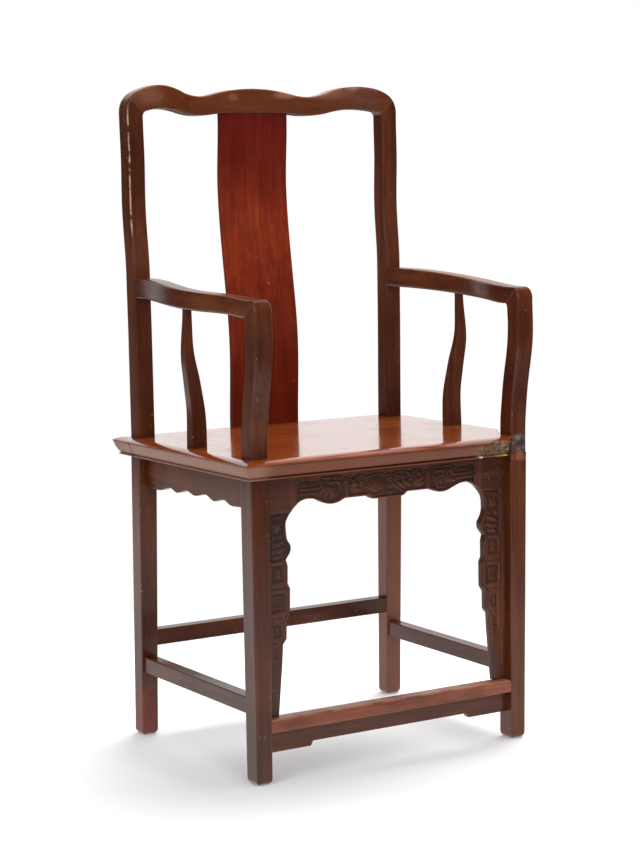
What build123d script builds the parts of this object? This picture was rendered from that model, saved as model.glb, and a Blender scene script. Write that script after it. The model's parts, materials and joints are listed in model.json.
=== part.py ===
from build123d import *
import os

# A southern official's hat armchair, in hardwood, joined without screws.
# Millimetres. +Z is up, the chair faces -Y, and "left" is -X, as one stands facing the chair.
# The origin lies on the floor, under the middle of the chair's outline in plan.
# The back posts and back legs are single timbers, and so are the front legs and the arm posts:
# they pass through the seat frame, which rests on their shoulders.

os.makedirs("parts", exist_ok=True)

# ------------------------------------------------------------------ driving dimensions
# Seat
seat_height = 500.0  # floor to the top of the seat
seat_width = 555.6
seat_depth = 449.4
seat_front = -234.9  # the seat's front edge on the Y axis
seat_thickness = 29.0  # the frame rails, top to underside
rail_width = 64.0  # front and side rails
rear_rail_width = 67.8
front_overhang = 27.2  # seat edge to the front posts
rear_overhang = 26.1
front_side_overhang = 22.7
rear_side_overhang = 20.4
panel_thickness = 14.0
panel_tongue = 6.0  # thickness of the panel's tongue
panel_lap = 2.0  # the tongue stands this far above the panel's underside
tongue_reach = 8.0  # how far tongues and battens enter a rail
batten_width = 24.0
batten_height = 11.0
batten_spread = 210.0  # distance between the two battens' centres

# The moulding round the seat: steps inwards from its outer edge, heights above its underside
mould_inset = 9.0
bead_height = 2.6
bead_bulge = 1.3
groove_height = 1.8
lip_bottom = 21.5
lip_top = 24.0
lip_step = 1.2
slope_width = 18.0

# Legs and posts
front_foot_width = 27.2  # along X
front_foot_depth = 33.0  # along Y
front_leg_width = 31.5  # under the seat
front_leg_depth = 34.5
front_foot_inset = 2.8  # how far the front legs lean inwards, down to their feet
front_foot_setback = 6.8  # how far the front legs' feet stand behind their tops
rear_foot_width = 29.0
rear_foot_depth = 28.0
rear_leg_width = 32.0  # under the seat
rear_leg_depth = 31.5
rear_foot_rake = 17.5  # how far the back legs' feet stand behind their tops
post_width = 31.0
front_post_depth = 31.4
rear_post_depth = 30.4
leg_round = 2.0
post_round = 4.0
foot_splice_height = 79.0  # the renewed foot of the back left leg
foot_splice_tenon = 13.0  # thickness of its square tenon
foot_splice_reach = 20.0

# Arms
arm_front_height = 238.0  # seat to the top of the arm, at the front
arm_rise = 22.5  # how much higher the arm is at the back post
arm_front_thickness = 27.0
arm_rear_thickness = 32.5
arm_width = 28.6
arm_bow = 20.5  # how far the arms bow outwards
arm_corner_outer = 18.0  # radius
arm_corner_inner = 6.0
arm_post_lean = 21.8  # how far the front posts swing forwards

# Back
crest_peak_height = 570.5  # seat to the two shoulders of the crest rail
crest_bow = 43.4  # how far the crest rail bows backwards
crest_middle_thickness = 32.0
crest_corner_outer = 36.0  # radius
crest_corner_inner = 9.0
crest_corner_drop = 5.0  # peak to the top of the rounded corner
crest_inner_drop = 44.5  # peak to the inner corner
back_post_splay = 3.0  # how far the back posts lean outwards, up to the crest
back_post_sway = 4.8  # how far the crest stands behind the foot of the back posts
splat_width = 129.6
splat_shift = 1.8  # how far the splat stands off the middle, to the right
splat_thickness = 11.0
splat_housing = 10.0  # how far the splat enters the crest rail and the seat
splat_foot_inset = 22.8  # seat's rear edge to the splat's front face
splat_head_inset = 3.3  # crest's front face to the splat's front face
splat_round = 1.5

# Side posts
side_post_base_width = 27.0
side_post_base_depth = 19.5
side_post_top_width = 12.5
side_post_top_depth = 9.5
side_post_y = -16.7
side_post_inset = 34.8  # seat edge to the post's centre line at its foot
side_post_swing = 14.0  # how far the post swings outwards
side_post_lean = 4.5  # how far it swings forwards
side_post_round = 2.0

# Aprons
apron_thickness = 11.0
front_apron_thickness = 13.5
apron_tongue = 5.0  # thickness of the tongues
apron_tongue_reach = 5.0
apron_top_reach = 6.0  # how far an apron's upper tongue enters the seat frame
front_apron_setback = 17.0  # behind the front faces of the legs
side_apron_setback = 13.5
rear_apron_setback = 13.5
rear_apron_height = 38.0
side_apron_height = 52.0
apron_joint_drop = 57.5  # underside of the seat to the joint of apron and spandrel
carved_groove_width = 2.4
carved_groove_depth = 2.0
nail_radius = 1.1
nail_length = 9.0
nail_fit = 0.02

# Stretchers
footrest_top = 98.8
footrest_height = 19.5
footrest_depth = 28.5
footrest_round = 5.0
footrest_apron_setback = 14.0
footrest_apron_low = 45.5
footrest_apron_high = 53.0
footrest_apron_step = 76.0  # leg to the step in its lower edge
side_stretcher_top = 133.2
side_stretcher_height = 26.0
side_stretcher_width = 22.5
side_stretcher_front_inset = 2.2
side_stretcher_rear_inset = 4.2
rear_stretcher_top = 176.8
rear_stretcher_height = 26.6
rear_stretcher_depth = 23.0
rear_stretcher_inset = 2.0
stretcher_round = 1.5

# The broken front right corner of the seat
break_along_side = 136.6  # from the seat's front edge to where the side rail's edge breaks off
break_along_front = 72.8  # from the seat's right edge to where the front rail's edge breaks off

# Joinery
tenon_length = 12.0
tenon_shoulder = 4.5  # how much thinner a tenon is than its rail, each side
bite = 1.0  # how far a tenon's block starts inside its own piece
fit = 0.2  # clearance round tenons, tongues and posts
seam = 0.15  # half of the hairline between panel and rails

# ------------------------------------------------------------------ places that follow
underside = seat_height - seat_thickness
seat_half = seat_width / 2
seat_back = seat_front + seat_depth
rail_inner_x = seat_half - rail_width
rail_inner_y = seat_front + rail_width
rear_rail_front = seat_back - rear_rail_width
panel_underside = seat_height - panel_thickness
panel_tongue_low = panel_underside + panel_lap
panel_tongue_high = panel_tongue_low + panel_tongue

front_outer_x = seat_half - front_side_overhang
rear_outer_x = seat_half - rear_side_overhang
front_post_inner_x = front_outer_x - post_width
rear_post_inner_x = rear_outer_x - post_width
front_post_y = seat_front + front_overhang
front_post_back_y = front_post_y + front_post_depth
rear_post_y = seat_back - rear_overhang - rear_post_depth

front_leg_top_y = front_post_y
rear_leg_top_y = rear_post_y - (rear_leg_depth - rear_post_depth) / 2
front_foot_y = front_leg_top_y + front_foot_setback
rear_foot_y = rear_leg_top_y + rear_foot_rake

arm_front_y = front_post_y - arm_post_lean
arm_front_top = seat_height + arm_front_height
arm_front_bottom = arm_front_top - arm_front_thickness
arm_rear_top = arm_front_top + arm_rise
arm_rear_bottom = arm_rear_top - arm_rear_thickness
arm_rear_y = rear_post_y - 1.8
arm_length = arm_rear_y - arm_front_y

crest_top = seat_height + crest_peak_height
crest_front_y = rear_post_y + back_post_sway
crest_centre_y = crest_front_y + crest_bow
crest_outer_x = rear_outer_x + back_post_splay
crest_inner_x = rear_post_inner_x + back_post_splay
crest_corner_z = crest_top - crest_corner_drop - crest_corner_outer
reach = 2 * (seat_width + seat_depth)  # long enough to cut right through the chair


def between(low, high, share):
    """The value that lies a share of the way from low to high."""
    return low + (high - low) * share


def front_leg_outer_x(z):
    return front_outer_x - between(front_foot_inset, 0, z / underside)


def front_leg_inner_x(z):
    return front_leg_outer_x(z) - between(front_foot_width, front_leg_width, z / underside)


def rear_leg_outer_x(z):
    return rear_outer_x


def rear_leg_inner_x(z):
    return rear_outer_x - between(rear_foot_width, rear_leg_width, z / underside)


def front_leg_front_y(z):
    return between(front_foot_y, front_leg_top_y, z / underside)


def front_leg_back_y(z):
    return front_leg_front_y(z) + between(front_foot_depth, front_leg_depth, z / underside)


def rear_leg_front_y(z):
    return between(rear_foot_y, rear_leg_top_y, z / underside)


def rear_leg_back_y(z):
    return rear_leg_front_y(z) + between(rear_foot_depth, rear_leg_depth, z / underside)


def block(low, high, mode=Mode.ADD, grow=0.0):
    """A plain block between two opposite corners, grown on every side."""
    spans = [abs(b - a) + 2 * grow for a, b in zip(low, high)]
    middle = [(a + b) / 2 for a, b in zip(low, high)]
    with Locations(tuple(middle)):
        Box(*spans, mode=mode)


def prism(plane, points, amount, mode=Mode.ADD):
    """A straight-sided outline on a plane, given a thickness."""
    with BuildSketch(plane) as face:
        with BuildLine():
            Polyline(*points, close=True)
        make_face()
    extrude(face.sketch, amount=amount, mode=mode)


def board_on_y(points, y_low, thickness, mode=Mode.ADD):
    """A board seen from the front: points are (x, z) and it lies from y_low backwards."""
    prism(Plane.XZ.offset(-y_low), points, -thickness, mode)


def board_on_x(points, x_low, thickness, mode=Mode.ADD):
    """A board seen from the side: points are (y, z) and it lies from x_low to the right."""
    prism(Plane.YZ.offset(x_low), points, thickness, mode)


def board_on_apron(points, behind, thickness, mode=Mode.ADD):
    """A board that leans with the front legs: points are (x, z), and behind is the distance
    from the front apron's face."""
    prism(
        front_apron_face.offset(-behind),
        [(x, z - underside) for x, z in points],
        -thickness,
        mode,
    )


def post_hole(centre_x, centre_y, width, depth):
    """A hole through the seat frame for a post with rounded edges."""
    with BuildSketch(Plane.XY.offset(underside)) as hole:
        with Locations((centre_x, centre_y)):
            RectangleRounded(width + 2 * fit, depth + 2 * fit, post_round + fit)
    extrude(hole.sketch, amount=seat_thickness, mode=Mode.SUBTRACT)


def trim_to_front_legs():
    """Cuts a leaning board off at the front legs' inner faces and at the seat's underside."""
    low, high = footrest_top, underside
    corners = [(-1, low), (1, low), (1, high), (-1, high)]
    points = [(way * front_leg_inner_x(z), z) for way, z in corners]
    board_on_y(points, -reach / 2, reach, Mode.INTERSECT)


def mirrored(points):
    """The other half of an outline that starts at its middle, and the half itself."""
    return [(-x, z) for x, z in reversed(points) if x > 0] + list(points)


# ------------------------------------------------------------------ tenons
# Each is a pair of corners on the right-hand side. A mortise is the same block, grown by fit.
front_post_x = front_outer_x - post_width / 2
rear_post_x = rear_outer_x - post_width / 2
front_corner_y = arm_front_y + front_post_depth / 2
side_post_x = seat_half - side_post_inset
side_post_head_x = side_post_x + side_post_swing
seat_tenon_low = underside + 7.8
seat_tenon_high = seat_tenon_low + 8.6

arm_tenon = (
    (rear_post_x - 5.0, arm_rear_y - bite, arm_rear_bottom + 8.0),
    (rear_post_x + 5.0, arm_rear_y + tenon_length, arm_rear_top - 8.0),
)
arm_corner_tenon = (
    (front_post_x - 5.0, front_corner_y - 3.5, arm_front_bottom + 3.0),
    (front_post_x + 5.0, front_corner_y + 3.5, arm_front_top - 7.0),
)
crest_post_x = rear_post_x + back_post_splay
crest_corner_tenon = (
    (crest_post_x - 4.0, crest_front_y + 9.0, crest_corner_z - 12.0),
    (crest_post_x + 4.0, crest_front_y + rear_post_depth - 9.0, crest_corner_z + 15.0),
)
side_post_top = between(arm_front_bottom, arm_rear_bottom, 0.56) + 8.0
side_post_head_y = side_post_y - side_post_lean
side_post_head_tenon = (
    (side_post_head_x - 3.0, side_post_head_y - 3.0, side_post_top - 16.0),
    (side_post_head_x + 3.0, side_post_head_y + 3.0, side_post_top + 3.0),
)
side_post_foot_tenon = (
    (side_post_x - 8.0, side_post_y - 5.0, seat_height - tenon_length),
    (side_post_x + 8.0, side_post_y + 5.0, seat_height + bite),
)
seat_corner_tenon = (
    (rail_inner_x + 2.0, rail_inner_y - 32.0, seat_tenon_low),
    (front_post_inner_x - 2.0, rail_inner_y + 10.0, seat_tenon_high),
)
seat_rear_tenon = (
    (rail_inner_x + 10.0, rear_rail_front - bite, seat_tenon_low),
    (rail_inner_x + 42.0, rear_rail_front + 9.0, seat_tenon_high),
)
foot_splice_x = -(rear_outer_x - rear_foot_width / 2)
foot_splice_y = rear_leg_front_y(foot_splice_height) + rear_foot_depth / 2
foot_splice_block = (
    (
        foot_splice_x - foot_splice_tenon / 2,
        foot_splice_y - foot_splice_tenon / 2,
        foot_splice_height - bite,
    ),
    (
        foot_splice_x + foot_splice_tenon / 2,
        foot_splice_y + foot_splice_tenon / 2,
        foot_splice_height + foot_splice_reach,
    ),
)


def mirror_block(corners):
    """The same block on the left-hand side."""
    (x_low, y_low, z_low), (x_high, y_high, z_high) = corners
    return (-x_high, y_low, z_low), (-x_low, y_high, z_high)


def level_tenon(top, height):
    """Lowest and highest point of a stretcher's tenon."""
    return top - height + tenon_shoulder, top - tenon_shoulder


side_tenon_low, side_tenon_high = level_tenon(side_stretcher_top, side_stretcher_height)
rear_tenon_low, rear_tenon_high = level_tenon(rear_stretcher_top, rear_stretcher_height)
foot_tenon_low, foot_tenon_high = level_tenon(footrest_top, footrest_height)


def outer_face(y):
    """The side stretcher's outer face, straight from the front leg to the back leg."""
    share = (y - front_leg_back_y(0)) / (rear_leg_front_y(0) - front_leg_back_y(0))
    front_x = front_leg_outer_x(side_stretcher_top) - side_stretcher_front_inset
    return between(front_x, rear_outer_x - side_stretcher_rear_inset, share)


def side_stretcher_tenon(y_low, y_high):
    outer_x = outer_face((y_low + y_high) / 2) - tenon_shoulder
    inner_x = outer_x + 2 * tenon_shoulder - side_stretcher_width
    return (inner_x, y_low, side_tenon_low), (outer_x, y_high, side_tenon_high)


side_front_tenon = side_stretcher_tenon(
    front_leg_back_y(side_tenon_high) - tenon_length,
    front_leg_back_y(side_tenon_low) + bite,
)
side_rear_tenon = side_stretcher_tenon(
    rear_leg_front_y(side_tenon_low) - bite,
    rear_leg_front_y(side_tenon_low) + tenon_length,
)
rear_stretcher_y = rear_leg_front_y(rear_stretcher_top) + rear_stretcher_inset
rear_stretcher_tenon = (
    (rear_leg_inner_x(rear_tenon_low) - bite, rear_stretcher_y + tenon_shoulder, rear_tenon_low),
    (
        rear_leg_inner_x(rear_tenon_low) + tenon_length,
        rear_stretcher_y + rear_stretcher_depth - tenon_shoulder,
        rear_tenon_high,
    ),
)
footrest_y = front_leg_front_y(footrest_top) + 1.0
footrest_tenon = (
    (front_leg_inner_x(foot_tenon_low) - bite, footrest_y + tenon_shoulder, foot_tenon_low),
    (
        front_leg_inner_x(foot_tenon_low) + tenon_length,
        footrest_y + footrest_depth - tenon_shoulder,
        foot_tenon_high,
    ),
)

# Aprons: where each board lies, and its tongue in the middle of its thickness
tongue_inset = (apron_thickness - apron_tongue) / 2
front_apron_y = front_leg_top_y + front_apron_setback
front_apron_face = Plane(
    origin=(0, front_apron_y, underside),
    x_dir=(1, 0, 0),
    z_dir=(0, -underside, -front_foot_setback),
)
front_tongue_inset = (front_apron_thickness - apron_tongue) / 2
front_tongue_y = front_apron_y + front_tongue_inset
side_apron_x = rear_outer_x - side_apron_setback - apron_thickness
side_tongue_x = side_apron_x + tongue_inset
rear_apron_y = rear_leg_top_y + rear_leg_depth - rear_apron_setback - apron_thickness
rear_tongue_y = rear_apron_y + tongue_inset
footrest_bottom = footrest_top - footrest_height
footrest_apron_y = front_leg_front_y(footrest_bottom) + footrest_apron_setback
footrest_tongue_y = footrest_apron_y + tongue_inset
footrest_top_tongue = (
    (-front_leg_inner_x(footrest_bottom) + bite, footrest_tongue_y, footrest_bottom - bite),
    (
        front_leg_inner_x(footrest_bottom) - bite,
        footrest_tongue_y + apron_tongue,
        footrest_bottom + apron_tongue_reach,
    ),
)
apron_joint = underside - apron_joint_drop
side_apron_low = underside - side_apron_height
rear_apron_low = underside - rear_apron_height


def end_tongue(board, face, way, heights, low, mode=Mode.ADD, grow=0.0):
    """An apron's tongue, or its groove, along a leaning leg: face(z) is the leg's face there,
    way is the direction in which the tongue enters it, and low is where its thickness starts."""
    z_low, z_high = heights
    points = [
        (face(z_low) - way * bite, z_low - grow),
        (face(z_low) + way * (apron_tongue_reach + grow), z_low - grow),
        (face(z_high) + way * (apron_tongue_reach + grow), z_high + grow),
        (face(z_high) - way * bite, z_high + grow),
    ]
    board(points, low - grow, apron_tongue + 2 * grow, mode)


front_tongue = (
    board_on_apron,
    front_leg_inner_x,
    1,
    (footrest_top, underside - bite),
    front_tongue_inset,
)
footrest_tongue = (
    board_on_y,
    front_leg_inner_x,
    1,
    (footrest_apron_low, footrest_bottom),
    footrest_tongue_y,
)
rear_tongue = (board_on_y, rear_leg_inner_x, 1, (rear_apron_low, underside), rear_tongue_y)
side_front_tongue = (
    board_on_x,
    front_leg_back_y,
    -1,
    (side_apron_low, underside),
    side_tongue_x,
)
side_rear_tongue = (board_on_x, rear_leg_front_y, 1, (side_apron_low, underside), side_tongue_x)


# ------------------------------------------------------------------ arm and front post, one outline
# Side view of the front post, the rounded corner and the arm. Heights of the post's curve are
# shares of its rise, and places along the arm are shares of its length.
post_curve = ((0.20, 0.16), (0.35, 0.39), (0.53, 0.80), (0.69, 1.04), (0.80, 1.04))
arm_curve = ((0.21, 0.17), (0.365, 0.34), (0.52, 0.52), (0.60, 0.64), (0.755, 0.86), (0.86, 0.96))


def post_points(offset):
    return [
        (front_post_y + offset - arm_post_lean * swing, seat_height + arm_front_height * share)
        for share, swing in post_curve
    ]


def arm_points(front, rear):
    return [
        (arm_front_y + arm_length * share, between(front, rear, climb))
        for share, climb in arm_curve
    ]


with BuildPart() as arm_and_post:
    with BuildSketch(Plane.YZ):
        with BuildLine():
            foot_front = Line((front_post_y, underside), (front_post_y, seat_height))
            post_front = Spline(
                foot_front @ 1,
                *post_points(0.0),
                (arm_front_y, arm_front_top - arm_corner_outer),
                tangents=[(0, 1), (0, 1)],
            )
            outer_corner = TangentArc(
                post_front @ 1,
                (arm_front_y + arm_corner_outer, arm_front_top),
                tangent=(0, 1),
            )
            arm_top_line = Spline(
                outer_corner @ 1,
                *arm_points(arm_front_top, arm_rear_top),
                (arm_rear_y, arm_rear_top),
                tangents=[(1, 0), (1, 0)],
            )
            arm_end = Line(arm_top_line @ 1, (arm_rear_y, arm_rear_bottom))
            inner_y = arm_front_y + front_post_depth
            arm_bottom_line = Spline(
                arm_end @ 1,
                *reversed(arm_points(arm_front_bottom, arm_rear_bottom)),
                (inner_y + arm_corner_inner, arm_front_bottom),
                tangents=[(-1, 0), (-1, 0)],
            )
            inner_corner = TangentArc(
                arm_bottom_line @ 1,
                (inner_y, arm_front_bottom - arm_corner_inner),
                tangent=(-1, 0),
            )
            post_back = Spline(
                inner_corner @ 1,
                *reversed(post_points(front_post_depth)),
                (front_post_back_y, seat_height),
                tangents=[(0, -1), (0, -1)],
            )
            foot_back = Line(post_back @ 1, (front_post_back_y, underside))
            Line(foot_back @ 1, foot_front @ 0)
        make_face()
    extrude(amount=reach)
    # Plan of the arm: straight over the post, then bowed outwards and back to the rear post.
    bow_length = arm_rear_y - front_post_back_y
    with BuildSketch(Plane.XY):
        with BuildLine():
            outer_line = Line((front_outer_x, seat_front - 10.0), (front_outer_x, front_post_back_y))
            outer_bow = Spline(
                outer_line @ 1,
                (front_outer_x + 0.78 * arm_bow, front_post_back_y + 0.27 * bow_length),
                (front_outer_x + 1.08 * arm_bow, front_post_back_y + 0.49 * bow_length),
                (front_outer_x + 0.64 * arm_bow, front_post_back_y + 0.72 * bow_length),
                (rear_outer_x, arm_rear_y),
                tangents=[(0, 1), (0, 1)],
            )
            arm_back_edge = Line(outer_bow @ 1, (rear_outer_x - arm_width, arm_rear_y))
            inner_bow = Spline(
                arm_back_edge @ 1,
                (front_post_inner_x + 0.70 * arm_bow, front_post_back_y + 0.72 * bow_length),
                (front_post_inner_x + 1.17 * arm_bow, front_post_back_y + 0.49 * bow_length),
                (front_post_inner_x + 0.86 * arm_bow, front_post_back_y + 0.27 * bow_length),
                (front_post_inner_x, front_post_back_y),
                tangents=[(0, -1), (0, -1)],
            )
            inner_line = Line(inner_bow @ 1, (front_post_inner_x, seat_front - 10.0))
            Line(inner_line @ 1, outer_line @ 0)
        make_face()
    extrude(amount=reach, mode=Mode.INTERSECT)
    seams = (front_post_back_y, arm_rear_y)
    long_edges = [
        edge
        for edge in arm_and_post.edges().filter_by(Axis.X, reverse=True)
        if edge.center().Z > underside + 1
        and (edge.center().Z < arm_front_bottom - 1 or min(abs(edge.center().Y - y) for y in seams) > 0.01)
    ]
    fillet(long_edges, post_round)

arm_mitre = Plane(
    origin=(0, inner_y, arm_front_bottom),
    x_dir=(1, 0, 0),
    z_dir=(0, 1, 1),
)

# ------------------------------------------------------------------ crest and back post, one outline
# Front view of the right half of the crest, from its middle outwards: each arc runs on from the
# one before it. Places are shares of the crest's half width, heights are drops from its peaks.
crest_top_arcs = ((0.304, 12.0), (0.546, 7.5))
crest_top_middle_drop = 1.7
crest_top_end_drop = 23.0
crest_bottom_arcs = ((0.32, 45.6), (0.546, 42.3))
crest_bottom_middle_drop = 42.5
crest_bottom_end_drop = 43.0
crest_flat = 0.156  # the straight middle of its lower edge
crest_bow_arc = (0.421, 0.826)  # plan: place and share of the bow where the flatter arc ends
arch_foot = crest_top - 90.0  # where the crest rail's outline begins on the posts
post_sway_curve = ((0.25, 0.62), (0.47, 1.10), (0.74, 0.80))  # shares of height and of sway


def crest_point(share, drop):
    return crest_outer_x * share, crest_top - drop


def splay(z):
    """How far the back posts have leaned outwards at a height above the seat."""
    return back_post_splay * (z - seat_height) / (outer_top[1] - seat_height)


outer_top = crest_point(1, crest_top_end_drop)
inner_top_z = crest_top - crest_bottom_end_drop
inner_top = (rear_post_inner_x + splay(inner_top_z), inner_top_z)


def tangent_chain(start, heading, points):
    """Arcs through points, each running on from the last one."""
    for point in points:
        arc = TangentArc(start, point, tangent=heading)
        start = arc @ 1
        heading = arc % 1


with BuildPart() as crest_rail:
    with BuildSketch(Plane.XZ) as arch:
        with BuildLine():
            top_x, top_z = crest_point(*crest_top_arcs[0])
            crown = ThreePointArc(
                (-top_x, top_z), crest_point(0, crest_top_middle_drop), (top_x, top_z)
            )
            crown_heading = crown % 1
            flat_x, flat_z = crest_point(crest_flat, crest_bottom_middle_drop)
            upper_run = [crest_point(*arc) for arc in crest_top_arcs[1:]] + [outer_top]
            lower_run = [crest_point(*arc) for arc in crest_bottom_arcs] + [inner_top]
            for way in (1, -1):
                tangent_chain(
                    (way * top_x, top_z),
                    (way * crown_heading.X, crown_heading.Y),
                    [(way * x, z) for x, z in upper_run],
                )
                tangent_chain(
                    (way * flat_x, flat_z), (way, 0), [(way * x, z) for x, z in lower_run]
                )
                Polyline(
                    (way * outer_top[0], outer_top[1]),
                    (way * (rear_outer_x + splay(arch_foot)), arch_foot),
                    (way * (rear_post_inner_x + splay(arch_foot)), arch_foot),
                    (way * inner_top[0], inner_top[1]),
                )
            Line((-flat_x, flat_z), (flat_x, flat_z))
        make_face()
        for top, radius in ((outer_top, crest_corner_outer), (inner_top, crest_corner_inner)):
            corners = [
                corner
                for corner in arch.vertices()
                if abs(abs(corner.X) - top[0]) < 0.01 and abs(corner.Y - top[1]) < 0.01
            ]
            fillet(corners, radius)
    extrude(amount=-2 * seat_back)
    # Plan: straight over the posts, bowed backwards between them.
    with BuildSketch(Plane.XY.offset(arch_foot - 10)) as plan:
        with BuildLine():
            side_x = crest_outer_x + 5.0
            bow_x = crest_inner_x - 8.0
            crest_back_y = crest_front_y + rear_post_depth
            back_bow = crest_bow + crest_middle_thickness - rear_post_depth
            for face_y, bow in ((crest_front_y, crest_bow), (crest_back_y, back_bow)):
                arc_x = crest_outer_x * crest_bow_arc[0]
                arc_y = face_y + bow * crest_bow_arc[1]
                middle = ThreePointArc((-arc_x, arc_y), (0, face_y + bow), (arc_x, arc_y))
                heading = middle % 1
                for way in (1, -1):
                    TangentArc(
                        (way * arc_x, arc_y),
                        (way * bow_x, face_y),
                        tangent=(way * heading.X, heading.Y),
                    )
                    Line((way * bow_x, face_y), (way * side_x, face_y))
            for way in (1, -1):
                Line((way * side_x, crest_front_y), (way * side_x, crest_back_y))
        make_face()
        fillet(plan.vertices().filter_by(lambda corner: abs(abs(corner.X) - bow_x) < 0.01), 30)
    extrude(amount=crest_top + 20 - arch_foot, mode=Mode.INTERSECT)
    long_edges = [
        edge
        for edge in crest_rail.edges().filter_by(Axis.Y, reverse=True)
        if edge.center().Z > arch_foot + 1
        and not (abs(edge.center().X) < crest_inner_x - 4 and abs((edge % 0.5).Z) > 0.99)
    ]
    fillet(long_edges, post_round)
    for way in (1, -1):
        crest_mitre = Plane(
            origin=(way * crest_inner_x, 0, crest_top - crest_inner_drop),
            x_dir=(0, 1, 0),
            z_dir=(-way, 0, 1),
        )
        split(bisect_by=crest_mitre, keep=Keep.TOP)
with BuildPart() as back_post:
    with BuildSketch(Plane.XZ) as outline:
        with BuildLine():
            Polyline(
                inner_top,
                (rear_post_inner_x, seat_height),
                (rear_post_inner_x, underside),
                (rear_outer_x, underside),
                (rear_outer_x, seat_height),
                outer_top,
            )
            tangent_chain(
                crest_point(*crest_top_arcs[0]),
                (crown_heading.X, crown_heading.Y),
                upper_run,
            )
            tangent_chain((flat_x, flat_z), (1, 0), lower_run)
            Line((flat_x, flat_z), crest_point(*crest_top_arcs[0]))
        make_face()
        for top, radius in ((outer_top, crest_corner_outer), (inner_top, crest_corner_inner)):
            corners = [
                corner
                for corner in outline.vertices()
                if abs(corner.X - top[0]) < 0.01 and abs(corner.Y - top[1]) < 0.01
            ]
            fillet(corners, radius)
    extrude(amount=-2 * seat_back)
    # Side view: plumb through the seat and behind the arm, then swaying back to the crest.
    with BuildSketch(Plane.YZ):
        with BuildLine():
            sway_start = arm_rear_top + 6.0
            sway_end = crest_top - crest_inner_drop - 12.0
            sways = [
                (between(arm_rear_y, crest_front_y, sway), between(sway_start, sway_end, share))
                for share, sway in post_sway_curve
            ]
            for shift in (0, rear_post_depth):
                seat_line = Line((rear_post_y + shift, underside), (rear_post_y + shift, seat_height))
                low_curve = Spline(
                    seat_line @ 1,
                    (arm_rear_y + shift, arm_rear_bottom - 30.0),
                    tangents=[(0, 1), (0, 1)],
                )
                arm_line = Line(low_curve @ 1, (arm_rear_y + shift, sway_start))
                high_curve = Spline(
                    arm_line @ 1,
                    *[(y + shift, z) for y, z in sways],
                    (crest_front_y + shift, sway_end),
                    tangents=[(0, 1), (0, 1)],
                )
                Line(high_curve @ 1, (crest_front_y + shift, crest_top + 10.0))
            Line((rear_post_y, underside), (rear_post_y + rear_post_depth, underside))
            Line(
                (crest_front_y, crest_top + 10.0),
                (crest_front_y + rear_post_depth, crest_top + 10.0),
            )
        make_face()
    extrude(amount=reach, mode=Mode.INTERSECT)
    long_edges = [
        edge
        for edge in back_post.edges().filter_by(Axis.X, reverse=True).filter_by(Axis.Y, reverse=True)
        if edge.center().X > flat_x + 1 and edge.center().Z > underside + 1
    ]
    fillet(long_edges, post_round)
    split(
        bisect_by=Plane(
            origin=(crest_inner_x, 0, crest_top - crest_inner_drop),
            x_dir=(0, 1, 0),
            z_dir=(-1, 0, 1),
        ),
        keep=Keep.BOTTOM,
    )


# ------------------------------------------------------------------ back legs
def tapered_leg(outer_x, inner_x, front_y, back_y):
    """The square leg below the seat, a little stouter at its top."""
    board_on_y(
        [
            (outer_x(0), 0),
            (outer_x(underside), underside),
            (inner_x(underside), underside),
            (inner_x(0), 0),
        ],
        -reach / 2,
        reach,
    )
    prism_points = [
        (front_y(0), 0),
        (front_y(underside), underside),
        (back_y(underside), underside),
        (back_y(0), 0),
    ]
    board_on_x(prism_points, 0, reach, Mode.INTERSECT)


with BuildPart() as back_leg_right:
    tapered_leg(rear_leg_outer_x, rear_leg_inner_x, rear_leg_front_y, rear_leg_back_y)
    fillet(back_leg_right.edges().filter_by(lambda edge: edge.length > 0.9 * underside), leg_round)
    add(back_post.part)
    block(*crest_corner_tenon)
    block(*arm_tenon, Mode.SUBTRACT, fit)
    block(*side_rear_tenon, Mode.SUBTRACT, fit)
    block(*rear_stretcher_tenon, Mode.SUBTRACT, fit)
    end_tongue(*rear_tongue, Mode.SUBTRACT, fit)
    end_tongue(*side_rear_tongue, Mode.SUBTRACT, fit)

with BuildPart() as back_leg_left:
    mirror(back_leg_right.part, about=Plane.YZ)
    block((-reach, -reach, -bite), (0, reach, foot_splice_height), Mode.SUBTRACT)
    block(*foot_splice_block, Mode.SUBTRACT, fit)

with BuildPart() as back_left_foot_splice:
    mirror(back_leg_right.part, about=Plane.YZ)
    block((-reach, -reach, foot_splice_height), (0, reach, reach), Mode.SUBTRACT)
    block(*foot_splice_block)

# ------------------------------------------------------------------ front legs and arms
with BuildPart() as front_leg_right:
    tapered_leg(front_leg_outer_x, front_leg_inner_x, front_leg_front_y, front_leg_back_y)
    fillet(front_leg_right.edges().filter_by(lambda edge: edge.length > 0.9 * underside), leg_round)
    add(arm_and_post.part)
    split(bisect_by=arm_mitre, keep=Keep.BOTTOM)
    block(*arm_corner_tenon)
    block(*side_front_tenon, Mode.SUBTRACT, fit)
    block(*footrest_tenon, Mode.SUBTRACT, fit)
    end_tongue(*front_tongue, Mode.SUBTRACT, fit)
    end_tongue(*footrest_tongue, Mode.SUBTRACT, fit)
    end_tongue(*side_front_tongue, Mode.SUBTRACT, fit)

with BuildPart() as arm_rail_right:
    add(arm_and_post.part)
    split(bisect_by=arm_mitre, keep=Keep.TOP)
    block(*arm_tenon)
    block(*arm_corner_tenon, Mode.SUBTRACT, fit)
    block(*side_post_head_tenon, Mode.SUBTRACT, fit)

# ------------------------------------------------------------------ side posts
# Heights are shares of the post's rise; the swing is outwards, as a share of its full swing.
side_post_curve = (
    (0.00, 0.00, 1.00),
    (0.27, 0.07, 0.86),
    (0.39, 0.36, 0.76),
    (0.50, 0.66, 0.66),
    (0.60, 0.98, 0.50),
    (0.69, 1.12, 0.33),
    (0.83, 1.06, 0.13),
    (1.00, 1.00, 0.00),
)
side_post_rise = side_post_top - seat_height


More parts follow.
